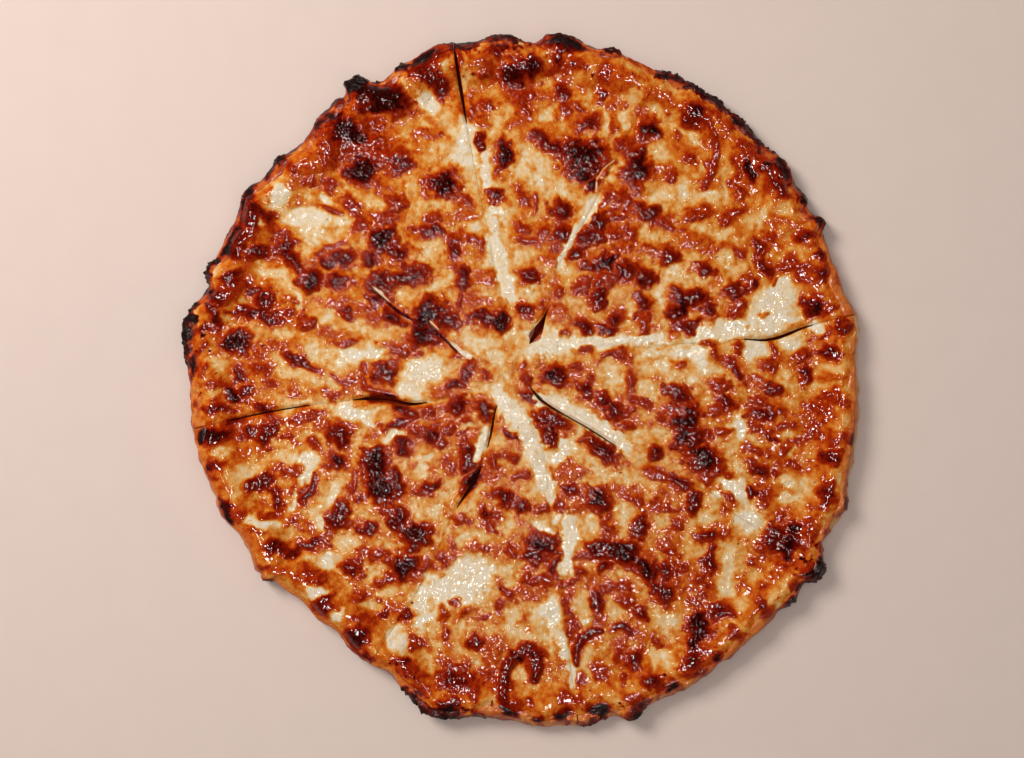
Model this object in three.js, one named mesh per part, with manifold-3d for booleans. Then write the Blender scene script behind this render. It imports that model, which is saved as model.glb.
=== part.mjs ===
// A baked margherita pizza, cut into eight slices that still lie in place.
// Millimetres, +Z up. The pizza rests on z = 0 with its middle over the origin.
// Each slice is three solids: crust, sauce and cheese.
import * as THREE from 'three';
import { mergeVertices } from 'three/addons/utils/BufferGeometryUtils.js';
import Module from 'manifold-3d';

const wasm = await Module();
wasm.setup();

// ---- Driving dimensions -------------------------------------------------------------------

const MEAN_RADIUS = 152.6;     // a 12-inch pizza
const BASE_HEIGHT = 6.0;       // baked dough under the topping
const CREST_HEIGHT = 12.4;     // top of the raised rim
const CREST_DEPTH = 6.5;       // how far in from the edge the rim is highest
const RIM_SLOPE = 17;          // width of the slope from the crest down to the flat base
const SAUCE_THICKNESS = 0.9;
const CHEESE_THICKNESS = 2.1;  // between the browned blisters
const CHEESE_EDGE = 0.8;       // thickness where the cheese thins out on the rim
const LAYER_GAP = 0.3;         // clearance between the layers of a slice
const TIP_WIDTH = 1.6;         // blunt width of a slice's tip

// Slow swells of the outline: [waves round the rim, swell, angle of a crest in degrees].
const SWELLS = [[1, 2.9, 16], [2, 2.65, -60], [3, 2.05, 60], [4, 1.83, 1], [5, 1.14, -26]];

// Bumps and dents of the outline: [angle, half width in degrees, outward].
const EDGE_BUMPS = [
  [10, 4, 2.0], [28, 1.6, 1.6], [39.5, 2.5, 1.4], [68, 2.2, -2.4], [83, 3.5, 2.0], [88, 2, -2.2],
  [94, 2.5, 2.1], [104, 3, 2.4], [114.5, 2.4, -3.4], [132.5, 3.5, -2.6], [146, 3, 3.4], [164, 2.5, -2.2], [171, 5, 2.5],
  [182, 6, -2.3], [204, 3, 0.9], [215, 3.2, 3.4], [225, 3, -2.0], [232.5, 3, -2.8], [245, 2, -2.4],
  [254.5, 4, 4.2], [267, 3, -2.6], [279.5, 3, 1.3], [288, 2.5, 3.0], [309, 8, -1.9], [323, 3, 1.8],
  [333, 2.2, -1.5], [339, 2.5, 1.8], [349, 7, -1.5],
];

// Stretches where the side slopes outward down to the floor: [angle, half width, slope in mm].
const SLOPING_SIDES = [[348, 30, 2.6], [207, 9, 1.8], [281, 20, 2.2]];

// Bare rim outside the cheese: [angle, half width, extra bare depth in mm].
const BARE_RIM_DEPTH = 6.5;
const BARE_STRETCHES = [[136, 10, 12], [119, 5, 5], [180, 20, 5], [222, 10, 3], [275, 22, 5], [12, 6, 3]];

// Swollen blisters of the rim: [angle, depth, height of the middle, size out, size along, size up].
const RIM_BLISTERS = [
  [27.8, 4.0, 9.7, 3.8, 3.2, 2.8],
  [84, 5.0, 9.8, 4.6, 8.0, 3.2],
  [119.6, 1.6, 8.2, 6.2, 4.4, 5.0],
  [171, 5.2, 9.2, 4.6, 9.5, 3.2],
  [255, 5.0, 9.0, 4.8, 9.0, 3.4],
  [288, 4.6, 9.2, 4.6, 6.0, 3.2],
  [326.6, 1.2, 5.6, 5.2, 3.2, 3.8],
];

// The cuts. Each is a line from the middle to the rim: [distance from the meeting point, angle].
const MEETING_POINT = new THREE.Vector2(-4.5, 6.3);
const CUTS = [
  [[20, 10], [38, 14], [58, 9], [80, 8], [90, 6.5], [102, 7.2], [116, 6.3], [134, 8], [165, 9.2]],
  [[20, 56], [35, 61], [50, 65.5], [64, 64.2], [100, 63.8], [165, 63.4]],
  [[20, 95], [32, 99], [60, 100.4], [165, 100.4]],
  [[20, 167], [31, 159], [57, 152.8], [72, 150.5], [97, 148.3], [165, 147.9]],
  [[20, 210], [36, 199], [53, 193.4], [80, 192], [165, 191]],
  [[20, 247], [31, 251.3], [48, 252], [69, 248], [99, 247.5], [136, 244.8], [165, 243.5]],
  [[20, 288.4], [44, 289.5], [62, 285.3], [89, 283.8], [116, 281.7], [165, 280.3]],
  [[20, 311], [30, 317], [41, 320.7], [58, 322.8], [80, 325], [106, 327.7], [116, 326.8], [165, 327.6]],
];
const CUT_WIDTH = 0.9;

// Places where a cut gapes: [cut, distance from the meeting point, half length, extra width].
const GAPES = [[0, 130, 14, 1.1], [1, 24, 11, 3.0], [2, 124, 12, 1.0], [4, 110, 30, 0.8], [7, 20, 9, 2.2],
  [7, 46, 14, 0.8], [5, 28, 9, 0.9]];

// Browned crags of the cheese, slice by slice: [x, y, radius].
const CRAGS = [
  [129, 35, 6], [126, 65, 5.5], [109, 54, 6.5], [74, 37, 6.5], [45, 49, 7.5], [34, 36, 6], [41, 24, 6],
  [66, 57, 5], [83, 97, 6], [113, 93, 5], [76, 119, 6], [25, 24, 6], [56, 113, 5.5], [51, 95, 8], [84, 62, 6],
  [-2, 138, 9], [9, 111, 5.5], [-9, 101, 7], [27, 97, 11], [18, 132, 4.5], [18, 74, 5.5], [3, 40, 5],
  [-62, 130, 7], [-81, 115, 8], [-76, 104, 7], [-73, 92, 6], [-37, 88, 6], [-57, 54, 11], [-43, 68, 6],
  [-28, 52, 7], [-38, 29, 7],
  [-129, 18, 6.5], [-133, 57, 5], [-62, 6, 5], [-98, 42, 6], [-96, 12, 6],
  [-138, -37, 5], [-118, -48, 6.5], [-84, -29, 7], [-81, -62, 5], [-90, -100, 5.5], [-73, -114, 5],
  [-65, -43, 9], [-42, -24, 6], [-42, -47, 7], [-58, -81, 7],
  [-13, -54, 7], [8, -68, 5.5], [-31, -133, 8], [-4, -122, 6], [-52, -124, 5.5],
  [12, -18, 9], [37, -30, 8], [32, -51, 7], [69, -65, 5], [83, -74, 6.5], [62, -94, 9], [46, -73, 6],
  [80, -108, 8], [50, -126, 6], [112, -76, 7],
  [16, 2, 7], [41, 11, 5.5], [34, -8, 6.5], [76, 5, 8], [76, -20, 10.5], [81, -38, 8.5], [60, -33, 6.5],
  [112, 6, 6.5], [132, 9, 8], [107, -40, 6.5], [140, -33, 5.5], [136, -51, 6],
];
const CRAG_RISE = 0.24;        // height of a crag as a share of its radius
const SMALL_BLISTERS = 260;
const SMALL_BLISTER_RADIUS = [3.2, 6.0];
const BLISTER_SEED = 7;

const COLUMN_ANGLE = 3.3;      // mesh steps across a slice, in degrees at the rim
const CRUST_INNER_ROWS = 5;    // mesh steps from the tip to the foot of the rim's slope
const CHEESE_INNER_ROWS = 14;

const CRUST_COLOUR = 0xd39a62;
const SAUCE_COLOUR = 0x8e2c14;
const CHEESE_COLOUR = 0xe4b468;

// ---- Shape of the disc --------------------------------------------------------------------

const bell = (offset) => Math.exp(-offset * offset);
const turnBetween = (a, b) => THREE.MathUtils.euclideanModulo(a - b + 180, 360) - 180;
const sumOver = (places, angle) =>
  places.reduce((sum, [at, half, amount]) => sum + amount * bell(turnBetween(angle, at) / half), 0);
const angleOf = (point) => THREE.MathUtils.radToDeg(Math.atan2(point.y, point.x));

function outline(angle) {
  const swell = SWELLS.reduce((sum, [waves, size, crest]) =>
    sum + size * Math.cos(waves * THREE.MathUtils.degToRad(angle - crest)), 0);
  return MEAN_RADIUS + swell + sumOver(EDGE_BUMPS, angle);
}

const bareDepth = (angle) => BARE_RIM_DEPTH + sumOver(BARE_STRETCHES, angle);
const sideSlope = (angle) => 0.7 + sumOver(SLOPING_SIDES, angle);
const depthOf = (point) => outline(angleOf(point)) - point.length();

function crestHeight(angle) {
  const turn = THREE.MathUtils.degToRad(angle);
  const slow = 0.7 * Math.cos(3 * turn + 1) + 0.5 * Math.cos(7 * turn);
  return CREST_HEIGHT + slow + 0.35 * Math.cos(13 * turn + 2);
}

// Height of the dough: a rounded shoulder outside the crest, a soft slope inside it.
function doughTop(point) {
  const angle = angleOf(point);
  const depth = depthOf(point);
  const crest = crestHeight(angle);
  if (depth < CREST_DEPTH) {
    return crest * (1 - 0.24 * ((CREST_DEPTH - depth) / CREST_DEPTH) ** 2);
  }
  const down = THREE.MathUtils.smoothstep(depth - CREST_DEPTH, 0, RIM_SLOPE);
  return THREE.MathUtils.lerp(crest, BASE_HEIGHT, down);
}

// ---- Cuts and slices ----------------------------------------------------------------------

const cutCurves = CUTS.map((points) => new THREE.CubicInterpolant(
  points.map(([distance]) => distance), points.map(([, angle]) => angle), 1));

function cutAngle(cut, distance) {
  const turns = Math.floor(cut / CUTS.length);
  const index = cut % CUTS.length;
  const first = CUTS[index][0][0];
  return cutCurves[index].evaluate(Math.max(distance, first))[0] + 360 * turns;
}

function halfCut(cut, distance) {
  const index = cut % CUTS.length;
  const extra = GAPES.filter(([at]) => at === index)
    .reduce((sum, [, middle, half, width]) => sum + width * bell((distance - middle) / half), 0);
  return (CUT_WIDTH + extra) / 2;
}

function tipDistance(slice) {
  const spread = THREE.MathUtils.degToRad(cutAngle(slice + 1, 0) - cutAngle(slice, 0));
  return (TIP_WIDTH + halfCut(slice, 0) + halfCut(slice + 1, 0)) / spread;
}

// A point of a slice: `across` runs from one cut to the next, `distance` out from the middle.
// `grow` moves both sides of the slice outward.
function pointIn(slice, across, distance, grow = 0) {
  const shift = (cut) => THREE.MathUtils.radToDeg((halfCut(cut, distance) - grow) / distance);
  const from = cutAngle(slice, distance) + shift(slice);
  const to = cutAngle(slice + 1, distance) - shift(slice + 1);
  const angle = THREE.MathUtils.degToRad(THREE.MathUtils.lerp(from, to, across));
  return new THREE.Vector2(Math.cos(angle), Math.sin(angle)).multiplyScalar(distance).add(MEETING_POINT);
}

// How far out along a column of the slice the point with this depth lies, by halving.
const HALVINGS = 26;
function distanceAtDepth(slice, across, depthFor) {
  let near = 0.4 * MEAN_RADIUS;
  let far = 1.2 * MEAN_RADIUS;
  for (let step = 0; step < HALVINGS; step += 1) {
    const middle = (near + far) / 2;
    const point = pointIn(slice, across, middle);
    if (depthOf(point) > depthFor(angleOf(point))) near = middle;
    else far = middle;
  }
  return (near + far) / 2;
}

// Rows of a layer's mesh from the tip outward, each a function from a column to a point.
function rowsOf(slice, tip, innerRows, depths) {
  const foot = (across) => distanceAtDepth(slice, across, depths[0]);
  const inner = Array.from({ length: innerRows }, (_, row) => (across) =>
    pointIn(slice, across, THREE.MathUtils.lerp(tip, foot(across), row / innerRows)));
  const outer = depths.map((depth) => (across) =>
    pointIn(slice, across, distanceAtDepth(slice, across, depth)));
  return [...inner, ...outer];
}

const SHARED_DEPTHS = [RIM_SLOPE, 12.5, 8.5, 4.2, 0].map((step) => (angle) => bareDepth(angle) + step);
const SHOULDER_DEPTH = (angle) => 0.55 * bareDepth(angle) + 1;
const TOP_EDGE_DEPTH = (angle) => 1.5 + sideSlope(angle);

// A box whose length runs outward, width across the slice and height up through the layer.
function layerBody(slice, rows, levels, place) {
  const spread = cutAngle(slice + 1, MEAN_RADIUS) - cutAngle(slice, MEAN_RADIUS);
  const columns = Math.round(spread / COLUMN_ANGLE);
  const geometry = new THREE.BoxGeometry(1, 1, 1, rows.length - 1, columns, levels);
  const vertex = new THREE.Vector3();
  const placed = new Map();
  const position = geometry.attributes.position;
  for (let i = 0; i < position.count; i += 1) {
    vertex.fromBufferAttribute(position, i);
    const row = Math.round((vertex.x + 0.5) * (rows.length - 1));
    const column = Math.round((vertex.y + 0.5) * columns);
    const level = Math.round((vertex.z + 0.5) * levels);
    const key = `${row} ${column} ${level}`;
    if (!placed.has(key)) placed.set(key, place(rows[row](column / columns), level));
    position.setXYZ(i, ...placed.get(key));
  }
  return geometry;
}

function toSolid(geometry) {
  const bare = geometry.clone();
  bare.deleteAttribute('normal');
  bare.deleteAttribute('uv');
  const merged = mergeVertices(bare, 1e-4);
  return new wasm.Manifold(new wasm.Mesh({
    numProp: 3,
    vertProperties: new Float32Array(merged.attributes.position.array),
    triVerts: new Uint32Array(merged.index.array),
  }));
}

function toGeometry(solid) {
  const mesh = solid.getMesh();
  const geometry = new THREE.BufferGeometry();
  geometry.setAttribute('position', new THREE.BufferAttribute(new Float32Array(mesh.vertProperties), 3));
  geometry.setIndex(new THREE.BufferAttribute(new Uint32Array(mesh.triVerts), 1));
  geometry.computeVertexNormals();
  return geometry;
}

// ---- Crust --------------------------------------------------------------------------------

const BELOW_FLOOR = 3;         // the body is first made this much too deep, then cut flat
const FLOOR_INSET = 4.2;       // and its side is drawn in this far down there
const BULGE_HEIGHT = 3.4;      // where the side stands out furthest
const UPPER_SIDE_HEIGHT = 7.2;
const ROUNDED_WIDTH = 6;       // width over which the layers of the side bend outward

// The four levels of the side, from below the floor to the edge of the top: [depth, height].
function sideLevels(angle, top) {
  return [
    [FLOOR_INSET, -BELOW_FLOOR],
    [0, BULGE_HEIGHT],
    [0.5 + 0.4 * sideSlope(angle), Math.min(UPPER_SIDE_HEIGHT, 0.72 * top)],
    [TOP_EDGE_DEPTH(angle), top],
  ];
}

function crustPoint(point, level) {
  const angle = angleOf(point);
  const edge = TOP_EDGE_DEPTH(angle);
  const top = doughTop(point);
  const nearEdge = THREE.MathUtils.smoothstep(edge + ROUNDED_WIDTH - depthOf(point), 0, ROUNDED_WIDTH);
  const [sideDepth, sideHeight] = sideLevels(angle, top)[level];
  const insideHeight = [-BELOW_FLOOR, 0.38 * top, 0.7 * top, top][level];
  const placed = point.clone().setLength(point.length() + (edge - sideDepth) * nearEdge);
  return [placed.x, placed.y, THREE.MathUtils.lerp(insideHeight, sideHeight, nearEdge)];
}

function rimBlister([angle, depth, height, out, along, up]) {
  const turn = THREE.MathUtils.degToRad(angle);
  const reach = outline(angle) - depth;
  const geometry = new THREE.IcosahedronGeometry(1, 1);
  geometry.scale(out, along, up);
  geometry.rotateZ(turn);
  geometry.translate(reach * Math.cos(turn), reach * Math.sin(turn), height);
  return toSolid(geometry);
}

const ABOVE_FLOOR = toSolid(new THREE.BoxGeometry(400, 400, 100).translate(0, 0, 50));

// Whether the rim at this angle belongs to the slice.
function holdsAngle(slice, angle) {
  const start = cutAngle(slice, MEAN_RADIUS);
  return THREE.MathUtils.euclideanModulo(angle - start, 360) < cutAngle(slice + 1, MEAN_RADIUS) - start;
}

function crustGeometry(slice) {
  const rows = rowsOf(slice, tipDistance(slice), CRUST_INNER_ROWS,
    [...SHARED_DEPTHS, SHOULDER_DEPTH, TOP_EDGE_DEPTH]);
  const body = toSolid(layerBody(slice, rows, 3, crustPoint));
  return toGeometry(RIM_BLISTERS.filter(([angle]) => holdsAngle(slice, angle))
    .reduce((solid, blister) => solid.add(rimBlister(blister)), body)
    .intersect(ABOVE_FLOOR));
}

// ---- Sauce --------------------------------------------------------------------------------

const SAUCE_BOTTOM = BASE_HEIGHT + LAYER_GAP;
const SAUCE_TOP = SAUCE_BOTTOM + SAUCE_THICKNESS;
const SAUCE_INSET = 0.2;       // the sauce stays back from the cuts
const SAUCE_TIP_INSET = 1.2;
const SAUCE_DEPTH = (angle) => bareDepth(angle) + RIM_SLOPE + 0.4;
const SAUCE_SIDE_STEPS = 9;
const SAUCE_ARC_STEPS = 9;

// A flat slab over the slice's base, with its sides and ends moved outward by `grow`.
function sauceSlab(slice, grow, bottom, top) {
  const tip = tipDistance(slice) + SAUCE_TIP_INSET - grow;
  const depth = (angle) => SAUCE_DEPTH(angle) - grow;
  const side = (across) => Array.from({ length: SAUCE_SIDE_STEPS + 1 }, (_, step) => {
    const end = distanceAtDepth(slice, across, depth);
    return pointIn(slice, across, THREE.MathUtils.lerp(tip, end, step / SAUCE_SIDE_STEPS), grow);
  });
  const arc = Array.from({ length: SAUCE_ARC_STEPS - 1 }, (_, step) => {
    const across = (step + 1) / SAUCE_ARC_STEPS;
    return pointIn(slice, across, distanceAtDepth(slice, across, depth), grow);
  });
  const shape = new THREE.Shape([...side(0), ...arc, ...side(1).reverse()]);
  return new THREE.ExtrudeGeometry(shape, { depth: top - bottom, bevelEnabled: false, steps: 1 })
    .translate(0, 0, bottom);
}

const sauceGeometry = (slice) => sauceSlab(slice, -SAUCE_INSET, SAUCE_BOTTOM, SAUCE_TOP);

// ---- Cheese -------------------------------------------------------------------------------

function seededRandom(seed) {
  let state = seed;
  return () => {
    state = (state * 1664525 + 1013904223) % 4294967296;
    return state / 4294967296;
  };
}

function scatterBlisters() {
  const random = seededRandom(BLISTER_SEED);
  const [smallest, largest] = SMALL_BLISTER_RADIUS;
  return Array.from({ length: SMALL_BLISTERS }, () => {
    const reach = MEAN_RADIUS * Math.sqrt(random());
    const turn = 2 * Math.PI * random();
    const radius = THREE.MathUtils.lerp(smallest, largest, random());
    return [reach * Math.cos(turn), reach * Math.sin(turn), radius];
  });
}

const blisters = [...CRAGS, ...scatterBlisters()];

const WAVE_HEIGHT = 0.22;
const DOUGH_CLEARANCE = 1.5 * LAYER_GAP;

function cheeseRelief(point) {
  const rises = blisters.map(([x, y, radius]) => {
    const offset = Math.hypot(point.x - x, point.y - y) / radius;
    return offset < 1 ? CRAG_RISE * radius * (1 - offset ** 2) ** 2 : 0;
  });
  return Math.max(...rises) + WAVE_HEIGHT * Math.sin(point.x / 7) * Math.cos(point.y / 9 + 1);
}

// The cheese lies on the dough and the sauce, and thins out toward its edge on the rim.
function cheesePoint(point, level) {
  const bed = doughTop(point) + DOUGH_CLEARANCE;
  if (level === 0) return [point.x, point.y, bed];
  const inward = depthOf(point) - bareDepth(angleOf(point));
  const full = THREE.MathUtils.smoothstep(inward, -1, 15);
  const thickness = THREE.MathUtils.lerp(CHEESE_EDGE, CHEESE_THICKNESS, full);
  const lift = (SAUCE_THICKNESS + LAYER_GAP) * full;
  return [point.x, point.y, bed + lift + thickness + cheeseRelief(point) * (0.35 + 0.65 * full)];
}

function cheeseGeometry(slice) {
  const rows = rowsOf(slice, tipDistance(slice), CHEESE_INNER_ROWS, SHARED_DEPTHS);
  const body = toSolid(layerBody(slice, rows, 1, cheesePoint));
  const clearance = toSolid(sauceSlab(slice, 2 * LAYER_GAP, BASE_HEIGHT - 1, SAUCE_TOP + LAYER_GAP));
  return toGeometry(body.subtract(clearance));
}

// ---- Assembly -----------------------------------------------------------------------------

const crustMaterial = new THREE.MeshStandardMaterial({ color: CRUST_COLOUR, roughness: 0.75, metalness: 0 });
const sauceMaterial = new THREE.MeshStandardMaterial({ color: SAUCE_COLOUR, roughness: 0.35, metalness: 0 });
const cheeseMaterial = new THREE.MeshStandardMaterial({ color: CHEESE_COLOUR, roughness: 0.4, metalness: 0 });

function addLayer(group, name, geometry, material) {
  const mesh = new THREE.Mesh(geometry, material.clone());
  mesh.name = name;
  group.add(mesh);
}

const pizza = new THREE.Group();
CUTS.forEach((_, slice) => {
  addLayer(pizza, `crust_${slice + 1}`, crustGeometry(slice), crustMaterial);
  addLayer(pizza, `sauce_${slice + 1}`, sauceGeometry(slice), sauceMaterial);
  addLayer(pizza, `cheese_${slice + 1}`, cheeseGeometry(slice), cheeseMaterial);
});

const middle = new THREE.Box3().setFromObject(pizza).getCenter(new THREE.Vector3());
pizza.children.forEach((mesh) => mesh.geometry.translate(-middle.x, -middle.y, 0));

export default pizza;
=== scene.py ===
import math

import bmesh
import bpy
import numpy as np
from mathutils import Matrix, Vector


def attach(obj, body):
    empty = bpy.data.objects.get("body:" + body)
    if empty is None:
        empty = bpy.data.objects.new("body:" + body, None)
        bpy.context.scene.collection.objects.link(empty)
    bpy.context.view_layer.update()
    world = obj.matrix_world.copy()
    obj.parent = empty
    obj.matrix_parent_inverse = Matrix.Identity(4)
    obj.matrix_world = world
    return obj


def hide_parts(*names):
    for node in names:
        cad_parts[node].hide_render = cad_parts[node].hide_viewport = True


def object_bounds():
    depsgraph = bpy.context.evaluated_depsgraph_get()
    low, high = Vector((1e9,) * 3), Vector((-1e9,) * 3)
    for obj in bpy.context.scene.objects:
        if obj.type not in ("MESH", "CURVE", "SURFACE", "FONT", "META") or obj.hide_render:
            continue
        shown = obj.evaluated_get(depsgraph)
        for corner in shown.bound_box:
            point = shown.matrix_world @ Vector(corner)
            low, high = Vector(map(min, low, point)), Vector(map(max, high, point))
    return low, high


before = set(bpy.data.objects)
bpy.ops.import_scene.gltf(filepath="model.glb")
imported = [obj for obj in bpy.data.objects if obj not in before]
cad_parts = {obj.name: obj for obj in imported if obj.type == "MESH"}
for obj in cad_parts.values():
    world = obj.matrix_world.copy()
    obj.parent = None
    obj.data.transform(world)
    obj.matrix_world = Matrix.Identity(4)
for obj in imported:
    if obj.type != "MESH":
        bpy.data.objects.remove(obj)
cad_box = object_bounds()


# ---- Table, light and camera ----------------------------------------------------------------
# The pizza lies on a plain pale table, under one soft window from the upper left and the light
# of a bright room. The camera looks straight down.

# Sizes and places in metres, powers in watts.
TABLE_COLOUR = (214, 193, 182)
TABLE_GRAIN = 5                # how much lighter its grain is, of 255
TABLE_SIZE = 6.0
TABLE_GAP = 0.00005            # keeps the table and the flat underside apart
WINDOW_SIZE = 0.4
WINDOW_PLACE = (-0.62, 0.52, 0.85)
WINDOW_POWER = 10.4
WINDOW_COLOUR = (1.0, 0.98, 0.95)
LAMP_SIZE = 0.12
LAMP_POWER = 2.9
LAMP_PLACES = [(0.17, 0.01, 1.2), (-0.48, 0.40, 1.0), (0.08, -0.42, 1.2), (-0.24, -0.12, 1.2)]
LAMP_COLOUR = (1.0, 0.93, 0.87)
SKY_SIZE = 2.2
SKY_PLACE = (0.0, 0.001, 1.6)
SKY_POWER = 8.8
SKY_COLOUR = (1.0, 0.98, 0.96)
ROOM_COLOUR = (1.0, 0.97, 0.94)
ROOM_STRENGTH = 0.24
CAMERA_PLACE = (-0.0048, 0.0011, 0.650)
LENS = 50.0                    # in mm


def paint(red, green, blue):
    """A colour as it looks on screen, 0 to 255, as the linear colour that a shader takes."""
    return tuple((part / 255) ** 2.2 for part in (red, green, blue)) + (1.0,)


def put(tree, kind, settings, sockets):
    """A node with its settings, and with each named input set or linked."""
    node = tree.nodes.new(kind)
    for name, value in settings.items():
        setattr(node, name, value)
    for name, value in sockets.items():
        if isinstance(value, bpy.types.NodeSocket):
            tree.links.new(value, node.inputs[name])
        else:
            node.inputs[name].default_value = value
    return node


def new_material(name, **finish):
    """A material with its Principled shader, whose even values are set on its own sockets."""
    material = bpy.data.materials.new(name)
    material.use_nodes = True
    shader = material.node_tree.nodes["Principled BSDF"]
    for socket, value in finish.items():
        shader.inputs[socket.replace("_", " ")].default_value = value
    return material, material.node_tree, shader


def feed(tree, shader, **finish):
    """Links what varies over the surface to the shader's sockets."""
    for socket, value in finish.items():
        tree.links.new(value, shader.inputs[socket.replace("_", " ")])


table_sheet = bmesh.new()
bmesh.ops.create_grid(table_sheet, x_segments=1, y_segments=1, size=TABLE_SIZE / 2)
bmesh.ops.translate(table_sheet, verts=table_sheet.verts, vec=(0, 0, -TABLE_GAP))
table_mesh = bpy.data.meshes.new("table_top")
table_sheet.to_mesh(table_mesh)
table_sheet.free()
table = bpy.data.objects.new("table_top", table_mesh)
bpy.context.collection.objects.link(table)
table_finish, table_tree, table_shader = new_material("table_top", Roughness=0.7)
table_grain = put(table_tree, "ShaderNodeTexNoise", {}, {
    "Vector": put(table_tree, "ShaderNodeTexCoord", {}, {}).outputs["Object"],
    "Scale": 60.0, "Detail": 6.0})
table_tint = put(table_tree, "ShaderNodeMix", {"data_type": "RGBA"}, {
    "Factor": table_grain.outputs["Fac"],
    "A": paint(*TABLE_COLOUR), "B": paint(*[part + TABLE_GRAIN for part in TABLE_COLOUR])})
feed(table_tree, table_shader, Base_Color=table_tint.outputs["Result"])
table_mesh.materials.append(table_finish)


def area_light(name, size, power, place, colour):
    """A square soft light that faces the middle of the pizza."""
    lamp = bpy.data.lights.new(name, "AREA")
    lamp.size = size
    lamp.energy = power
    lamp.color = colour
    holder = bpy.data.objects.new(name, lamp)
    holder.location = place
    tilt = math.atan2(math.hypot(place[0], place[1]), place[2])
    holder.rotation_euler = (tilt, 0, math.atan2(-place[0], place[1]) + math.pi)
    bpy.context.collection.objects.link(holder)
    return holder


window = area_light("window", WINDOW_SIZE, WINDOW_POWER, WINDOW_PLACE, WINDOW_COLOUR)
window.visible_glossy = False
for number, place in enumerate(LAMP_PLACES):
    lamp = area_light(f"lamp_{number + 1}", LAMP_SIZE, LAMP_POWER, place, LAMP_COLOUR)
    lamp.visible_diffuse = False
ceiling = area_light("ceiling", SKY_SIZE, SKY_POWER, SKY_PLACE, SKY_COLOUR)
ceiling.visible_glossy = False

room = bpy.data.worlds.new("room")
room.use_nodes = True
sky = room.node_tree.nodes["Background"]
sky.inputs["Color"].default_value = (*ROOM_COLOUR, 1.0)
sky.inputs["Strength"].default_value = ROOM_STRENGTH
bpy.context.scene.world = room
room.cycles_visibility.glossy = False

lens = bpy.data.cameras.new("camera")
lens.lens = LENS
camera = bpy.data.objects.new("camera", lens)
camera.location = CAMERA_PLACE
bpy.context.collection.objects.link(camera)
bpy.context.scene.camera = camera
bpy.context.scene.view_settings.view_transform = "Standard"


# ---- Browning ---------------------------------------------------------------------------------
# What the oven did to the top: how far each place is baked, and how high it blistered. The cheese
# rises in bubbles whose tops scorch first. The crust under its edge is browned in the same places.
# The same maps hold a few marks of painted light: glints and lit cut edges put in as white cheese,
# and the shadows of gaping cuts put in as dark spots and lines.

CELL = 0.3                     # step of the maps below, in mm
CELLS = 1080

# Browned blisters by how dark they baked: x, y, half length and half width in mm, and for those
# that are turned the degrees. A few dark spots in these lists are painted shadow where a cut gapes.
CHARRED_BLISTERS_AND_CUT_SHADOWS = [
    (-64, 129, 13, 6, -18), (-66, 123, 7, 3), (-77, 134, 4, 3.5, 30), (-80, 113, 6, 5, -20),
    (-76, 110, 5, 3.5), (-55, 142, 4, 1.8, 25), (-5, 138, 5, 5.5), (4, 141, 4, 5.5), (27, 93, 5, 3.5),
    # The spot at 31, 88 is painted shadow where a cut opens, not a blister.
    (31, 88, 3.5, 2, 40), (26, 103, 8, 6, -10), (52, 97, 3.5, 7, -8), (57, 113, 4, 3.5),
    (101.5, 96, 1.6, 5.5, 16), (20, 152.5, 8, 2), (44, 148, 4, 1.5, -20), (-129, 18, 5, 4.5),
    # The spot at -64, -7 is painted shadow in a gaping cut.
    (-131, -5, 2.5, 2), (-44, 29, 7, 4, 20), (-46, 22, 5, 3), (-11, 27, 4, 4.5), (-64, -7, 5, 1.8, 5),
    (-66, -35, 4.5, 8, 5), (-64, -48, 5, 7, 10), (-49, -67, 6, 4, -10), (-53, -83, 5, 5), (8, -73, 5, 4),
    (-140, -24, 6, 2.5, 8), (-133, -57, 2, 6.5, 22), (40, 56, 2, 4.5, -30), (72, 35, 2, 5),
    (74, -17, 4.5, 5), (71, -25, 2, 4, -30), (82, -34, 6, 4, -15), (44, -76, 7, 3, -15),
    (55, -84, 5, 3, -42), (119, -75, 3.5, 5, -20), (122, -66, 3, 3), (135, -86, 3, 3.5),
    (137, -78, 2.4, 1.8, 30), (79, -109, 4.5, 6, -20), (77, -119, 3, 4.5, -20), (86, -123, 2.5, 1.6),
    (-75, -114, 4.5, 2.4, -40), (-2, -123, 3, 1.4, -20), (34, -147.5, 3.5, 2), (12.5, 3, 3, 2.5),
    # The spot at -22, -44 is painted shadow in a gaping cut.
    (-9, 101, 3, 5.5, -12), (132, 33, 2, 3.5, -20), (-22, -44, 1.8, 5, -35), (-35.5, 89.5, 6, 5),
    (-73, 95, 7, 6), (-63, 65, 3.5, 4.5), (77, 121, 3.5, 3.5), (-96, 46, 3, 3), (33, -52, 3, 3),
    (-83, -36, 3, 3),
]
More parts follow.
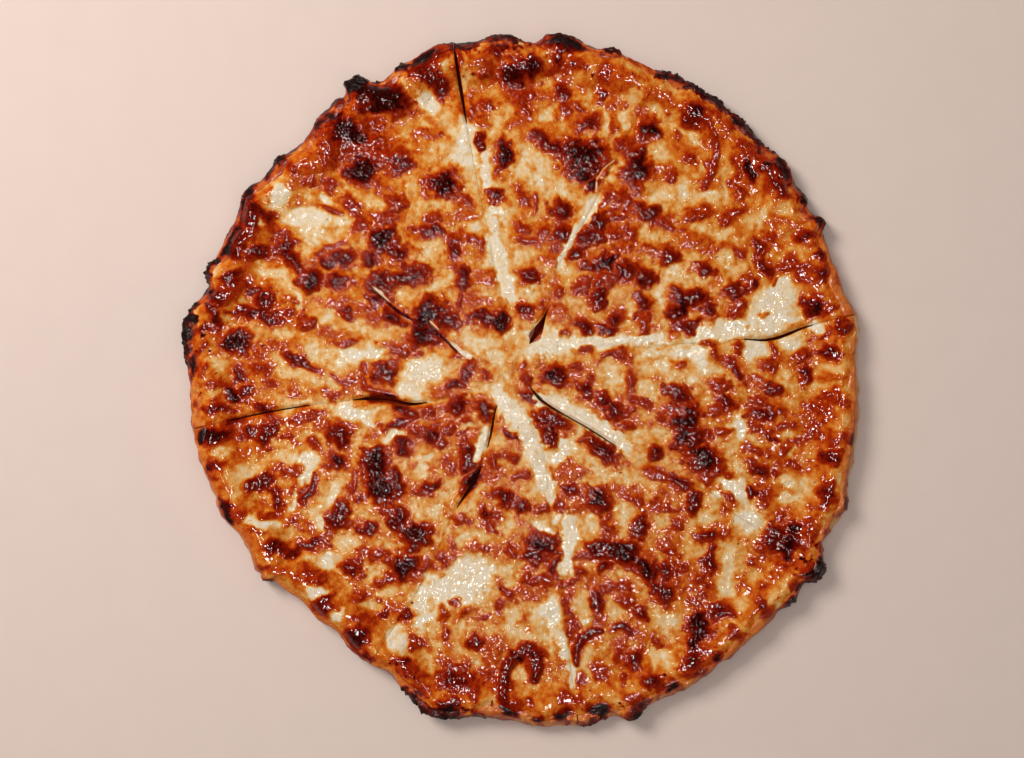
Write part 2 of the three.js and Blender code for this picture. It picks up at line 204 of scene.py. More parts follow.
DARK_BLISTERS_AND_CUT_SHADOWS = [
    (-64, 128, 16, 8, -18), (-80, 112, 9, 8, -25), (-73, 95, 8, 7), (-4, 138, 8, 8), (4, 141, 5, 7),
    (-9, 101, 4.5, 7.5, -12), (-36, 89, 8.5, 6.5, -35), (27, 101, 13, 9.5, -10), (56, 113, 7, 6.5),
    (51, 97, 6.5, 11, -5), (77, 120, 6.5, 6.5), (-12, 84, 5, 3.5, -20), (-19, 108, 2.5, 4.5),
    (-41, 68, 8, 2.6, -5), (-63, 64, 7, 8), (-53, 98, 5, 3.5, -10), (-44, 147, 7, 3.5, 30),
    (-42, 137, 9, 3.6, -32), (-37, 133, 3.5, 4), (-12, 148, 3.4, 2.4), (8, 110, 5.5, 3.2, -40),
    (14, 106, 7, 3.6, -20), (18.5, 131, 4, 4.5), (29, 117, 5, 3.6, 10), (35, 129, 2.6, 3, 20),
    (16, 145, 3, 4), (20, 151, 9, 4), (17, 77, 5.5, 4.5, -15), (17, 67, 5, 4.5), (33, 72, 5, 5.5, -30),
    (30, 65, 7, 4.5), (56, 76, 6.5, 4.6, -20), (108, 95, 5, 3, -30), (115, 88, 4.5, 7.5, 40),
    (126, 65, 5.5, 2.6, 5), (133, 73, 2.6, 3), (117, 97, 2.6, 6, 40), (127, 82, 1.8, 3.6, 40),
    (-124, 84, 4.5, 3.6), (-123, 73, 5.5, 6), (-127, 65, 5, 5, 30), (-117, 76, 8, 2.2, -38),
    (-106, 63, 5, 4, -20), (-105, 56, 9, 4.5, -45), (-88, 54, 5.5, 2.6, -20), (-82, 56, 6.5, 3.4, 5),
    (-96, 46, 6, 5.5), (-131, 59, 6.5, 2.6, 12), (-119, 58, 8, 3.4, 5), (-131, 46, 6, 3, 35),
    (-136, 38, 3.6, 4), (-140, 33, 2.6, 2.6), (-138, 28, 2.6, 3.4), (-142, 24, 3, 2),
    (-122, 42, 4.5, 2, -15), (-117, 36, 5, 5.5), (-121, 31, 9, 2.4), (-113, 29, 6, 2.6, -5),
    (-84, 45, 5.5, 3.6, -20), (-80, 31, 3.6, 2.8, -20), (-129, 18, 7.5, 6.5), (-128, 3, 2.4, 3.2),
    (-124, -4, 3.6, 2.6), (-131, -5, 4, 2.8), (-137, -12, 7, 3, -6), (-117, -12, 4.5, 3, -20),
    (-100, 9, 8, 2.6, -32), (-149, 6, 2.4, 3), (-62, 5, 5.5, 6.5), (-57, 58, 6, 5), (-69, 55, 4.5, 4),
    (-52, 48, 10.5, 5, 12), (-65, 45, 6.5, 5.5), (-67, 37, 5, 2.8, -30), (-58, 29, 5.5, 3.8, 10),
    (-43, 32, 9, 6, 15), (-44, 21, 9, 5, 5), (-35, 29, 6, 6), (-27, 47, 4, 6.5), (-31, 60, 3.4, 4.6),
    (-19, 29, 7, 3.6, -5), (-11, 27, 5.5, 5.5), (-29, -11, 7, 5, 25), (-26, 3, 2.4, 3.2, 20),
    (-31, -1, 4, 2.6), (-17, -12, 5, 4.5, -30), (1, 33, 4, 3), (3, 48, 5.5, 4, -20), (2, -6, 5, 2, -15),
    # The spot at -55, -11 is painted shadow at the end of a gaping cut.
    (-55, -11, 6.5, 2.2, -30), (14, 3, 6, 5, -10), (27, 25, 5.5, 3.8, -45), (24, 58, 4.5, 4.5),
    (31, 52, 4.5, 2.8, 10), (37, 54, 6, 4.4, 50), (46, 50, 7, 4, 25), (55, 47, 4.8, 4.6),
    (54, 36, 3.6, 5.2, 15), (34, 38, 4, 6), (38, 23, 5.5, 2.2), (42, 28, 4, 4), (66, 57, 4.5, 4.5, 30),
    (72, 38, 5, 4), (78, 38, 7.5, 4, -10), (84, 33, 3, 2.8), (69, 31, 4.5, 5.5), (73, 24, 5, 2.4, -10),
    (77, 27, 4, 2, 20), (83, 50, 4, 3.2), (28, -4, 5.2, 3.6, -45), (37, -8, 4, 4), (40, -13, 4, 5),
    (70, -5, 7, 4.5, -20), (74, -16, 8, 8), (75, -26, 7, 8, -20), (82, -35, 9.5, 7, -12),
    (12, -17, 9, 6, -32), (12, -24, 6, 5), (36, -30, 11, 5.5, -38), (21, -48, 3.8, 2.8, -10),
    (34, -53, 7, 5.8, -30), (9, -73, 9, 7, -5), (5, -78, 6, 4), (14, -84, 3.2, 4), (60, -32, 4.2, 4),
    (70, -45, 5.5, 3.2, -35), (77, -55, 4.5, 5.2), (53, -65, 4, 6.5, -20), (35, -75, 8, 3.6, -10),
    (46, -77, 9, 5.5, -15), (54, -84, 8, 4.5, -42), (37, -83, 4.5, 3.6, 60), (65, -85, 4.5, 4.5),
    (83, -69, 6, 3.4, 5), (84, -80, 3.6, 7), (62, -94, 5.5, 7, 40), (53, -104, 4.5, 4, -30),
    (33, -99, 3.6, 6.5), (46, -111, 5.5, 2, -10), (50, -125, 4.5, 5.5), (57, -134, 4.5, 4, 30),
    (67, -137, 3.2, 2.6), (34, -147, 5, 3.2), (17.5, -148.5, 3, 4.6, -25), (7, -151, 2.6, 1.7),
    (75, -125, 6, 3.4, 35), (79, -111, 6, 9, -15), (88, -103, 7, 3, -12), (107, -100, 2.5, 4.2, 20),
    (121, -99, 4.5, 2.2, 40), (113, -70, 7, 7), (119, -72, 6.5, 9, 10), (-115, -22, 5, 4, 50),
    (-117, -25, 3.4, 4.4), (-138, -24, 9.5, 4, 8), (-124, -22, 4.5, 2.6, 10), (-130, -18, 5, 1.6, 15),
    (-139, -37, 4, 2.4), (-119, -46, 7, 2.8, 35), (-115, -45, 3.8, 4), (-111, -53, 5, 3.6, -60),
    (-96, -49, 7.5, 2.6, 55), (-83, -24, 5.5, 6.5, 30), (-83, -36, 5.5, 5), (-83, -60, 6.5, 7.5, -15),
    (-111, -74, 6, 3.2, -15), (-104, -76, 5, 2.8, 8), (-95, -73, 6, 2.6, 22), (-77, -84, 5.5, 5.5),
    (-66, -37, 6.5, 11, 3), (-64, -48, 7, 9, 10), (-55, -29, 4.5, 4.5), (-57, -45, 3.4, 7),
    (-56, -61, 4.5, 7, 10), (-70, -66, 5, 3, -10), (-40, -25, 5.5, 4.5, -40), (-57, -19, 6.5, 1.8, 8),
    (-41, -47, 4.2, 2.8, 20), (-25, -34, 4, 7, -10), (-24, -45, 3, 6, -35), (-9, -51, 5.5, 4.5, -20),
    (-1, -56, 4, 3.6), (-17, -60, 4, 3.2, -45), (-48, -70, 9, 6, 15), (-53, -83, 8, 7),
    (-6, -23, 4.5, 2, -38), (-90, -101, 5.5, 5.5), (-74, -114, 6, 6, -40), (-72, -124, 6, 3, -28),
    (-63, -104, 3.4, 2.4, 35), (-53, -104, 3.4, 2.2, 50), (-53, -126, 5.5, 3, -15), (-31, -133, 8.5, 7),
    (-34, -144, 5, 3), (-21, -117, 4.6, 4, -30), (129, 35, 6.5, 4.8, -15), (106, 61, 2.6, 4.5, 28),
    (109, 52, 2.4, 5, 20), (134, 48, 4.5, 4), (133, 57, 4.2, 2.6, -45), (143, 25, 3.6, 3.6),
    (96, 41, 6, 4.5, -15), (103, 44, 2.8, 4.4, -20), (96, 5, 5.5, 2, -50), (112, -3, 5, 3.6, -10),
    (109, -14, 8, 2.8, 3), (91, -9, 4, 3, -40), (106, -39, 5.5, 3.6, -32), (104, -50, 3.2, 2.4, -45),
    (136, -51, 4, 7, 12), (138, -33, 6, 4.2, -5), (127, 4, 4, 4.5), (137, 13, 6, 3),
    (112, -24, 3.6, 1.6, -45), (146, -54, 1.6, 4.5, -12), (149, -23, 1.6, 4.5, -8),
]
RED_BLISTERS = [
    (-78, 108, 17, 11, -15), (-62, 101, 12, 8), (-128, 66, 12, 7, 30), (-131, 42, 10, 5, 60),
    (-70, 108, 9, 6), (-87, 103, 5, 8), (-69, 116, 8, 4, -10), (-57, 104, 6, 3, 10), (-30, 145, 2, 5),
    (0, 127, 4, 8, 10), (-17, 125, 3, 4, -20), (-16, 139, 5, 3.4, 10), (37, 139, 2.4, 6.5, -15),
    (24, 142, 4, 2.6), (16, 141, 6, 1.4, 5), (26, 124, 2.4, 2.6), (19, 124, 3, 3.6), (5, 80, 2, 4.5, 5),
    (0, 70, 3.4, 3), (2, 63, 5, 2.4), (64, 71, 4.4, 2.8, -20), (46, 107, 5, 4, 30), (43, 84, 4.4, 4),
    (48, 81, 4, 3, -30), (79, 76, 7.5, 2.8, 8), (96, 76, 6.5, 2, 20), (92, 73, 3.6, 3),
    (75, 101, 4.5, 3, -20), (67, 93, 4, 2.4, -10), (98, 85, 3.6, 4), (99, 105, 4.5, 3, -30),
    (105, 102, 6, 2.2, -35), (97, 95, 2.4, 5.5), (114, 96, 3, 3.6), (111, 65, 3, 3.4), (127, 77, 3.4, 2.6),
    (94, 115, 5, 3, 30), (87, 119, 1.4, 4, 30), (-92, 119, 2.6, 4.5, -35), (-97, 90, 5.5, 3.4, -20),
    (-87, 89, 4, 3, -20), (-104, 96, 4, 3), (-121, 92, 7, 1.8, 38), (-87, 78, 5, 2.4, -20),
    (-77, 79, 7, 2.8, -42), (-73, 72, 5, 2.6, -50), (-84, 62, 4.5, 1.6, 25), (-57, 81, 6, 6, -30),
    (-62, 74, 6.5, 2.4), (-39, 74, 4.5, 2.8), (-26, 82, 2.6, 3), (-30, 94, 2.6, 2, 30),
    (-26, 120, 2, 4, 40), (-30, 65, 3.4, 3.4), (-98, 27, 3.6, 4.5, -30), (-118, 6, 5.5, 4),
    (-136, -1, 7, 1.8, -8), (-143, 6, 2.6, 1.6, 45), (-113, -1, 3.4, 2.4), (-105, 31, 3.6, 2.4),
    (-79, 18, 6.5, 2, 12), (-82, 1, 4, 1, -32), (-93, -15, 4.6, 2.2, 15), (-113, -19, 5.5, 2),
    (-102, -17, 5, 2, 10), (-145, 14, 1.8, 6, -35), (-84, -19, 5.5, 1.6), (-22, 64, 3.4, 2, -20),
    (-18, 62, 1.8, 3.4), (-24, 7, 2, 3.4), (-43, -14, 4, 2.4), (-70, -2, 7, 2.4, -30),
    (-57, 15, 4.5, 2.4, -20), (-53, 13, 3.6, 3.4), (-28, 37, 2, 4.5, -10), (55, 26, 3.6, 6),
    (46, -14, 5, 2.8, 40), (53, -9, 5.5, 2.4, -15), (48, 0, 3, 6), (67, -12, 2.8, 4), (63, -16, 3.4, 3),
    (39, 11.5, 5.5, 2, 18), (44, 14, 2.8, 3), (24, 7, 4.4, 2.4, 30), (31, 2, 3, 3.2), (1, 1, 3, 3.4),
    (85, 15, 7.5, 2.6, -35), (27, 43, 5, 3, 40), (16, 41, 2.6, 3.4), (16, 60, 2.6, 2), (48, 67, 3, 4),
    (44, 76, 6, 2.6), (41, 67, 5, 3), (36, 45, 6, 4, 20), (121, 52, 9.5, 3.2, -6), (125, 47, 4.5, 2.4, -20),
    (137, 32, 4, 2.4, 55), (134, 21, 5.5, 1.4, 15), (126, 12, 5, 3, 15), (97, 34, 4.2, 4),
    (96, 30, 4.5, 1.8), (97, 58, 2.6, 4), (98, 14, 2.6, 4), (112, 14, 1.8, 4.2, 20), (111, 8, 5.5, 3.4),
    (107, -9, 5, 2.8), (89, -2, 6, 3.6, -20), (87, -13, 4.6, 3.4), (140, -7, 3, 3.4), (133, -12, 5.5, 5),
    (91, -22, 4, 3), (118, -20, 5.5, 1.6, 5), (122, -37, 3.4, 2.4), (104, -31, 4.5, 3, -10),
    (92, -43, 3.2, 2.8), (109, -53, 4, 2.4, -55), (130, -23, 4.4, 5), (138, -26, 3, 2), (145, -25, 4, 2.8),
    (107, -75, 3, 3.6), (128, -67, 3.4, 7), (103, -81, 3, 2), (128, -84, 4.5, 3, 45),
    (124, -91, 3.6, 4, -30), (135, -81, 3, 2), (118, -82, 3, 1.6), (94, -113, 3.2, 1.8, 25),
    (76, -131, 5.5, 1.8, 15), (71, -84, 4, 3), (80, -88, 4, 3.2), (67, -76, 4.4, 2.6, -35),
    (69, -65, 3.6, 4), (66, -57, 7, 2, 4), (50, -53, 4.6, 2.6, -25), (38, -64, 2.8, 5),
    (46, -20, 5.5, 2.4, 20), (61, -42, 8, 2.8, -18), (83, -43, 5, 3), (28, -78, 5, 1.8),
    (25, -86, 4.4, 2.6, -20), (21, -90, 4.2, 3, 15), (20, -102, 2, 7, 3), (22, -113, 2.4, 5),
    (37, -93, 4, 2.6), (43, -92, 5, 2.2, -10), (47, -98, 4.5, 3), (43, -124, 2.8, 4), (34, -130, 3, 5, 20),
    (45, -134, 3.2, 3), (50, -143, 4, 3), (19, -141, 5.5, 1.4, -20), (24, -143, 2.6, 2.6),
    (61, -117, 4, 2.2, -30), (8, -90, 6, 3.4, 15), (2, -87, 4, 3), (16, -56, 3, 4), (8, -57, 3.4, 2),
    (-5, -33, 4, 3.8), (-12, -35, 2.8, 4), (-1, -43, 4.4, 2.2), (-14, -66, 4.4, 1.6, -42),
    (-28, -62, 4.5, 2.6, -25), (-64, -78, 5.5, 3), (-36, -80, 2.2, 4), (-5, -76, 4, 3),
    (-47, -22, 4.5, 2.4), (-34, -21, 4, 3, 30), (-77, -46, 2.8, 5, -20), (-62, -58, 4, 2.6),
    (-45, -84, 2.4, 6, -35), (-46, -49, 5, 2, -10), (-52, -14, 4.5, 4), (-114, -59, 4, 2.6),
    (-127, -60, 3.6, 4), (-105, -26, 3.4, 2), (-104, -41, 3.2, 2.2), (-95, -28, 4, 2.4, -35),
    (-116, -83, 4.4, 1.5, -5), (-95, -84, 4.4, 2.2, 15), (-92, -88, 5, 2.6), (-61, -89, 6, 2.2, 22),
    (-48, -117, 3, 4), (-50, -130, 7, 2, -10), (-22, -138, 3.4, 4.4), (-15, -132, 4.5, 2.6, 15),
    (-36, -113, 2.4, 3.2), (-36, -104, 2.8, 3.4), (-27, -103, 5, 3.2, 18), (-17, -107, 3.2, 0.9, 8),
    (-8, -94, 4.6, 2.2, -42), (-10, -101, 2, 3), (-46, -138, 4, 2.8), (-74, -96, 3, 4),
    (-26, -28, 2.4, 3.6), (-17, 3, 2, 1.8), (-72, -106, 5, 2), (5, -125, 5.5, 8),
]
GOLDEN_SPOTS = [
    (44, 136, 9, 4, -18), (62, 128, 9, 4, -26), (-15, 143, 9, 3, 6), (-24, 129, 3, 2), (-3, 117, 4, 2, 30),
    (42, 125, 3, 3), (-85, 117, 4, 5), (-94, 98, 5, 4), (-75, 126, 4, 4), (-45, 112, 6, 3, -10),
    (-26, 75, 5, 2, 10), (-104, -4, 3, 2.6), (-107, 38, 3, 2), (-112, 16, 6, 3), (-88, 22, 4.6, 2.6),
    (-84, 36, 5, 3), (-20, 37, 5, 3), (-17, 47, 5, 2.4), (48, 11, 2.6, 2), (12, 56, 4, 2, -10),
    (47, 61, 4, 5), (78, 63, 6, 3.6), (15, 32, 6, 3), (87, 60, 5, 2, 15), (114, 73, 3.4, 2.6),
    (104, 1, 4, 2), (132, -15, 8, 6), (119, -29, 3, 1.6), (128, -40, 2.4, 1.4), (22, -41, 6, 4),
    (62, -73, 3.6, 3), (68, -93, 6, 2.4), (33, -116, 3, 1.8), (-20, -75, 3, 2), (-13, -76, 2.4, 2),
    (-98, -66, 4, 2), (-126, -32, 3.6, 2, 35), (-46, -104, 3, 1.6), (-50, -108, 5, 1, -10),
    (1, -95, 5, 3.4), (-13, -122, 4, 8), (139, 2, 5, 2), (45, -48, 4, 1.6), (91, -57, 3, 1.6),
    (60, 60, 9, 3), (-20, 118, 5, 3), (8, 128, 5, 3), (25, -56, 3, 3), (-33, -38, 3, 4), (-37, -4, 5, 3),
]
# Places where the cheese flowed together and stayed white, and others where it is cream, in the
# same way. Two of the white places are painted highlights: glints put in as white.
WHITE_PLACES = [
    (-108, 84, 5, 4), (-96, 73, 8, 4, -20), (-30, -96, 12, 8, -15), (-44, -107, 7, 5, 40), (-27, -85, 7, 6),
    (-111, 82, 7, 4, 75), (-98, 74, 11, 5, -5), (-88, 83, 4, 3), (-118, 73, 3, 2, -30), (-25, 110, 7, 8),
    (-27, 101, 5, 6), (-42, 125, 5, 5), (-17, 100, 8, 2, 90), (-16, 90, 7, 2, 90), (-13, 77, 3.5, 2),
    (-15, 68, 5, 3, 90), (-12, 58, 9, 2.5, 100), (-8, 46, 9, 2.8, 105), (-44, 5, 10, 7, 10),
    (-52, -4, 8, 4.5, -20), (-68, 14, 7, 3, 10), (-77, 12, 8, 5, 10), (-28, 14, 6, 1.5, -35),
    (-8, -10, 5, 3.5, -55), (-2, -18, 7, 3.5, -62), (4, -29, 7, 4, -70), (9, -42, 8, 3, -80),
    (12, -51, 5, 2, -85), (-76, -14, 9, 3, -10), (-102, 36, 5, 1.8, 95), (31, 79, 6, 2.5, 45),
    (25, 71, 5, 1.5, 50), (20, 63, 5, 1.2, 50), (15, 18, 10, 6.5, 10), (35, 18, 12, 3.5, 3),
    (58, 19, 10, 3), (80, 21, 9, 2.5, 10), (73, 14, 9, 3.5, 5), (79, 11, 6, 5, -50), (94, 24, 12, 4, 3),
    (112, 30, 12, 9, 20), (115, 41, 7, 5, 60), (22, -12, 10, 3, -30), (8, -8, 5, 1.8, -25),
    (36, -20, 10, 3, -32), (22, -66, 7, 4, 85), (20, -80, 8, 2.5, 95), (97, -20, 7, 4, 80),
    (101, -63, 7, 6, -50), (96, -48, 8, 4, -20), (88, -51, 5, 1.5, -20), (104, 15, 6, 4, -40),
    (121, 17, 6, 3.5, 15), (132, 24, 4, 2.5, 60), (19, -28, 5, 3, -60), (-22, -86, 9, 8),
    (-38, -92, 9, 7, 20), (-46, -98, 6, 4, 40), (-58, -114, 5, 2, 65), (-56, -117, 5, 4), (-93, -94, 4, 3),
    (-83, -104, 3.5, 2.5, 80), (13, -103, 8, 4.5, -70), (18, -118, 9, 3, -70), (22, -133, 7, 2, -80),
    (-97, -38, 8, 4, 90), (-101, -46, 5, 1.2, 75), (-103, -54, 3.5, 1.2, 60), (-118, -63, 8, 2.2, -8),
    (-90, -63, 4, 2.5, 80), (-85, -50, 6, 2.5, 60), (-88, -80, 5, 4), (-18, -26, 5.5, 2.5, 75),
    # The places at 8, -65 and 15, -62 are painted highlights: glints put in as white.
    (-58, -24, 6, 2, 15), (-70, -18, 5, 2, -40), (28, -107, 4, 2, -20), (8, -65, 4, 1.2, -15),
    (15, -62, 3, 1, 60),
]
CREAM_PLACES = [
    (-96, 66, 7, 3, -15), (-80, 86, 7, 2.6, -15), (-67, 80, 5, 4), (-82, 65, 6, 3.4), (-24, 97, 3.5, 6),
    (-22, 87, 2, 7), (-26, 135, 1.8, 10, 3), (-22, 118, 3, 3), (-14, 115, 5, 2, -20), (-29, 72, 6, 3, 10),
    (-37, 79, 6, 2.2), (-42, 62, 7, 2.4), (-7, 112, 4.5, 3), (4, 106, 2.4, 4.5, 15), (-1, 96, 3, 5),
    (9, 98, 4, 7, 30), (17, 88, 3, 5), (10, 137, 3, 6), (11, 119, 3, 3), (37, 116, 2.2, 6, -10),
    (45, 119, 2, 6), (51, 130, 8, 3, 30), (62, 84, 6, 2.4, -10), (61, 104, 5, 3, -20), (61, 65, 6, 2.6),
    (74, 112, 7, 1.3, -40), (80, 97, 1, 6), (82, 83, 7, 2.2, 8), (105, 75, 4.6, 6.5),
    (117, 76, 4.5, 2.4, 15), (90, 66, 5, 4), (91, 87, 1, 4, 20), (88, 73, 3, 2.4), (-97, 58, 5.5, 3, -35),
    (-89, 58, 3, 4), (-113, 49, 9.5, 2, -12), (-104, 43, 2.2, 5.5, 25), (-137, 50, 3, 3),
    (-128, 37, 3.4, 4.5, 30), (-109, 22, 5, 2.2), (-95, 13, 5.5, 5), (-110, 8, 5.5, 3, -40),
    (-104, 3, 4.5, 2.6), (-88, 1, 5.5, 4), (-81, 25, 5, 2.2), (-139, 10, 4.5, 2), (-138, -5, 5, 1.6),
    (-100, -10, 6, 1.6, 8), (-84, -12, 10, 3.4, -5), (-38, 45, 7, 2.6, 35), (-43, 56, 4, 2),
    (-41, -8, 6, 1.6), (-19, 18, 8.5, 3.4, -10), (-26, 24, 2.6, 4), (-13, 11, 5, 3), (-35, -4, 5, 2, 20),
    (-20, -3, 7, 1.8), (-66, -13, 5, 1.6), (-62, 22, 9, 3, 8), (-1, 58, 4, 5), (2, 40, 5, 3.6),
    (20, 50, 5, 3), (18, 41, 3, 4), (56, 14, 9, 2.2, -6), (30, 10, 6, 2.2), (40, 5, 6.5, 3, -20),
    (40, -3, 6.5, 2.4, -10), (55, -3, 5, 3.6), (57, -14, 6, 2.4), (70, 46, 7, 2.8, -15), (63, 43, 3, 4.5),
    (78, 56, 6, 2), (78, 31, 4.5, 2), (48, 31, 1.8, 7), (27, 37, 3, 3.6), (55, 55, 1.8, 4),
    (122, 28, 7, 1.6, 22), (94, 54, 8, 3.4, -35), (104, 38, 4.5, 2, 10), (104, 7, 1.8, 4), (83, 7, 4.5, 4),
    (118, 1, 4, 4), (95, 1, 4, 1.8), (134, -2, 6.5, 1.8, 6), (139, 6, 5, 2.4), (83, -9, 3.4, 4),
    (105, 51, 0.9, 9, 26), (-108, -34, 7.5, 2.6, -5), (-123, -41, 6.5, 4.5, -20), (-90, -26, 2, 5),
    (-102, -67, 4.5, 2), (-92, -57, 3.6, 7.5, -20), (-81, -72, 7, 3, -10), (-135, -31, 5.5, 2),
    (-46, -40, 4, 5.5), (-45, -34, 5.5, 2), (-33, -46, 4, 5), (-27, -20, 5.5, 1.6), (-24, -57, 6, 3, 35),
    (-23, -71, 9, 2.6, 8), (-7, -86, 7, 4.4), (-75, -29, 1.8, 9), (-49, -58, 1.6, 6), (-39, -58, 2.6, 4),
    (6, -37, 5, 4), (15, -34, 5, 2.4, 40), (33, -38, 9, 3.4, -20), (45, -43, 12, 3.6, 4), (50, -36, 4.5, 3),
    (31, -62, 2.4, 4.5), (46, -62, 2.6, 5.5), (63, -61, 4, 3.6), (62, -76, 4, 3, -30), (75, -67, 2.4, 8),
    (63, -22, 4, 3.4), (119, -24, 4.5, 2.6), (122, -31, 1, 2.4), (106, -27, 3, 1.8, -40),
    (128, -45, 4, 3.6), (119, -45, 4, 3), (95, -38, 4, 2.4), (84, -58, 3.6, 5), (93, -81, 3, 6),
    (91, -91, 5, 6), (119, -53, 5.5, 3), (-62, -95, 3.8, 2.6), (-69, -100, 6.5, 2.2, -10),
    (-70, -88, 3.4, 6), (-65, -84, 4, 1.8), (-23, -91, 9, 5), (-51, -103, 2.4, 4, 45), (-40, -112, 2, 9),
    (-14, -113, 3.4, 6, 30), (-7, -105, 5.5, 6), (0, -114, 8, 2, -5), (-2, -131, 2.6, 3),
    (27, -100, 2.8, 8.5), (41, -102, 3, 4.4), (42, -87, 4, 2, 20), (32, -84, 1.2, 7, 40),
    (29, -125, 2.4, 7.5), (57, -113, 1, 7.5, -5), (59, -123, 1.8, 6), (63, -124, 3, 4), (65, -107, 5.5, 3),
]
# White cheese that was drawn out along the cuts: x, y and half width of the points it runs
# through, in mm; some of these lines are painted highlights, glints and lit cut edges put in as
# white. After it strands of browned cheese, each with its tone and its height before those points;
# the first two are painted shadow, the dark line of a narrow cut.
WHITE_STREAMS_AND_GLINTS = [
    [(-12.5, 64, 2.2), (-11, 58, 2.6), (-9.5, 52, 2.4), (-8.5, 46, 2.6), (-6.5, 41, 3.0), (-5, 37.5, 2.0)],
    [(-17.5, 97, 1.2), (-17, 93, 2.0), (-16.5, 89, 1.0)], [(-14, 78, 2.0), (-10, 76.5, 1.2)],
    [(-14, 73, 2.2), (-12.5, 70, 1.6)], [(33, 82, 1.2), (31, 78, 1.8), (28, 73, 1.5)],
    [(24, 70, 1.2), (22.5, 66, 1.2), (20.5, 61, 1.0)], [(19.5, 60, 0.9), (17, 56, 1.2), (17, 53, 1.8)],
    [(32.8, 86, 0.4), (33, 91, 0.3), (36, 96, 0.25), (41, 100, 0.2)],
    [(5, 15, 2.6), (10, 16.5, 3.4), (16, 17, 2.6), (24, 18, 1.6), (36, 18.5, 1.6), (50, 19, 1.6),
     (62, 19.5, 1.8)],
    [(6, -6.5, 1.4), (12, -9, 2.2), (20, -13.5, 2.6), (30, -18, 3.0), (40, -24.5, 3.2), (47, -29, 2.0)],
    [(-11, -5, 2.4), (-8, -10, 4.0), (-4, -14, 4.2), (-1, -19, 4.0), (3, -25, 3.6), (5, -30, 4.2),
     (7, -36, 3.0)],
    [(18, -27, 1.6), (19, -31, 2.4), (15, -35, 2.0)], [(-16.5, -21, 1.4), (-19, -28, 2.0), (-21, -34, 1.6)],
    # Of the next two lines, the lists from 5, -64 and from 15, -62.5 are painted highlights: glints.
    [(9, -41, 2.2), (12, -47, 2.4), (13, -52, 1.4)], [(5, -64, 0.6), (9, -65.5, 1.6), (14, -68, 0.8)],
    [(15, -62.5, 0.8), (17, -60, 0.7)], [(20, -62, 2.6), (21, -70, 3.2), (20, -79, 1.6), (19, -86, 1.2)],
    # The next three lines, along a cut, are painted highlights where light catches its edge.
    [(-68, 43.2, 0.2), (-66, 41.5, 0.7), (-63, 38.8, 0.6), (-60, 36.2, 0.2)],
    [(-42, 27.5, 0.3), (-40, 25.5, 0.5), (-38, 23.5, 0.2)],
    [(-31, 16, 0.2), (-28, 13.5, 0.7), (-24, 11, 0.9)],
]
STRANDS_AND_SHADOW_LINES = [
    # The first two strands are painted shadow: the dark line of a narrow cut beside its lit edge.
    (0.93, 0.2, [(-68.5, 42, 0.3), (-65, 39, 0.5), (-61, 35.5, 0.5), (-56, 31.5, 0.7), (-50, 28, 0.4)]),
    (0.93, 0.2, [(-42.5, 26, 0.3), (-38.5, 22, 0.5), (-34, 18, 0.5), (-30, 13.5, 0.4)]),
    (0.79, 1.5, [(-3, -151, 1.6), (-6.5, -148, 2.2), (-9, -143, 2.5), (-9, -135, 2.4), (-7.5, -128, 2.6),
                 (-3, -123, 2.8), (2, -120, 3.0), (6, -123, 2.8), (6.5, -129, 2.4), (5, -134, 2.0)]),
    (0.78, 1.2, [(24, -127, 1.2), (23.5, -121, 2.0), (26.5, -115.5, 2.2), (31, -112.5, 2.0),
                 (35, -112, 1.2)]),
    (0.66, 0.8, [(82, 118, 0.9), (86, 110, 1.4), (87, 103, 1.8), (85, 95, 2.2), (81.5, 88, 1.8)]),
]


def ease(value, low, high):
    """Rises softly from 0 at low to 1 at high."""
    share = np.clip((value - low) / (high - low), 0, 1)
    return share * share * (3 - 2 * share)


cell_line = (np.arange(CELLS) - CELLS / 2) * CELL
map_x, map_y = np.meshgrid(cell_line, cell_line)


def uneven_map(size, seed):
    """A map of smooth unevenness of about this size in mm, with a spread of 1."""
    noise = np.random.default_rng(seed).normal(size=(CELLS, CELLS))
    waves = np.fft.fftfreq(CELLS, CELL)
    pitch = np.hypot(waves[:, None], waves[None, :]) * size
    band = np.fft.ifft2(np.fft.fft2(noise) * pitch * np.exp(-pitch ** 2)).real
    return band / band.std()


def stamp(target, blend, x, y, long, wide, turn=0):
    """Changes a map round a place. `blend` gets its old values and their distance in half sizes."""
    half = max(long, wide) * 1.4 + 5
    low_i = int(max((y - half) / CELL + CELLS / 2, 0))
    high_i = int(min((y + half) / CELL + CELLS / 2, CELLS)) + 1
    low_j = int(max((x - half) / CELL + CELLS / 2, 0))
    high_j = int(min((x + half) / CELL + CELLS / 2, CELLS)) + 1
    window = (slice(low_i, high_i), slice(low_j, high_j))
    dx, dy = warped_x[window] - x, warped_y[window] - y
    cosine, sine = math.cos(math.radians(turn)), math.sin(math.radians(turn))
    along, off = dx * cosine + dy * sine, dy * cosine - dx * sine
    size = np.sqrt((along / long) ** 2 + (off / wide) ** 2) * ragged[window]
    target[window] = blend(target[window], size)


warped_x = map_x + 0.8 * uneven_map(11, 31) + 0.25 * uneven_map(5, 32)
warped_y = map_y + 0.8 * uneven_map(11, 33) + 0.25 * uneven_map(5, 34)
ragged = 1 + 0.07 * uneven_map(4.5, 35) + 0.04 * uneven_map(2.2, 44)

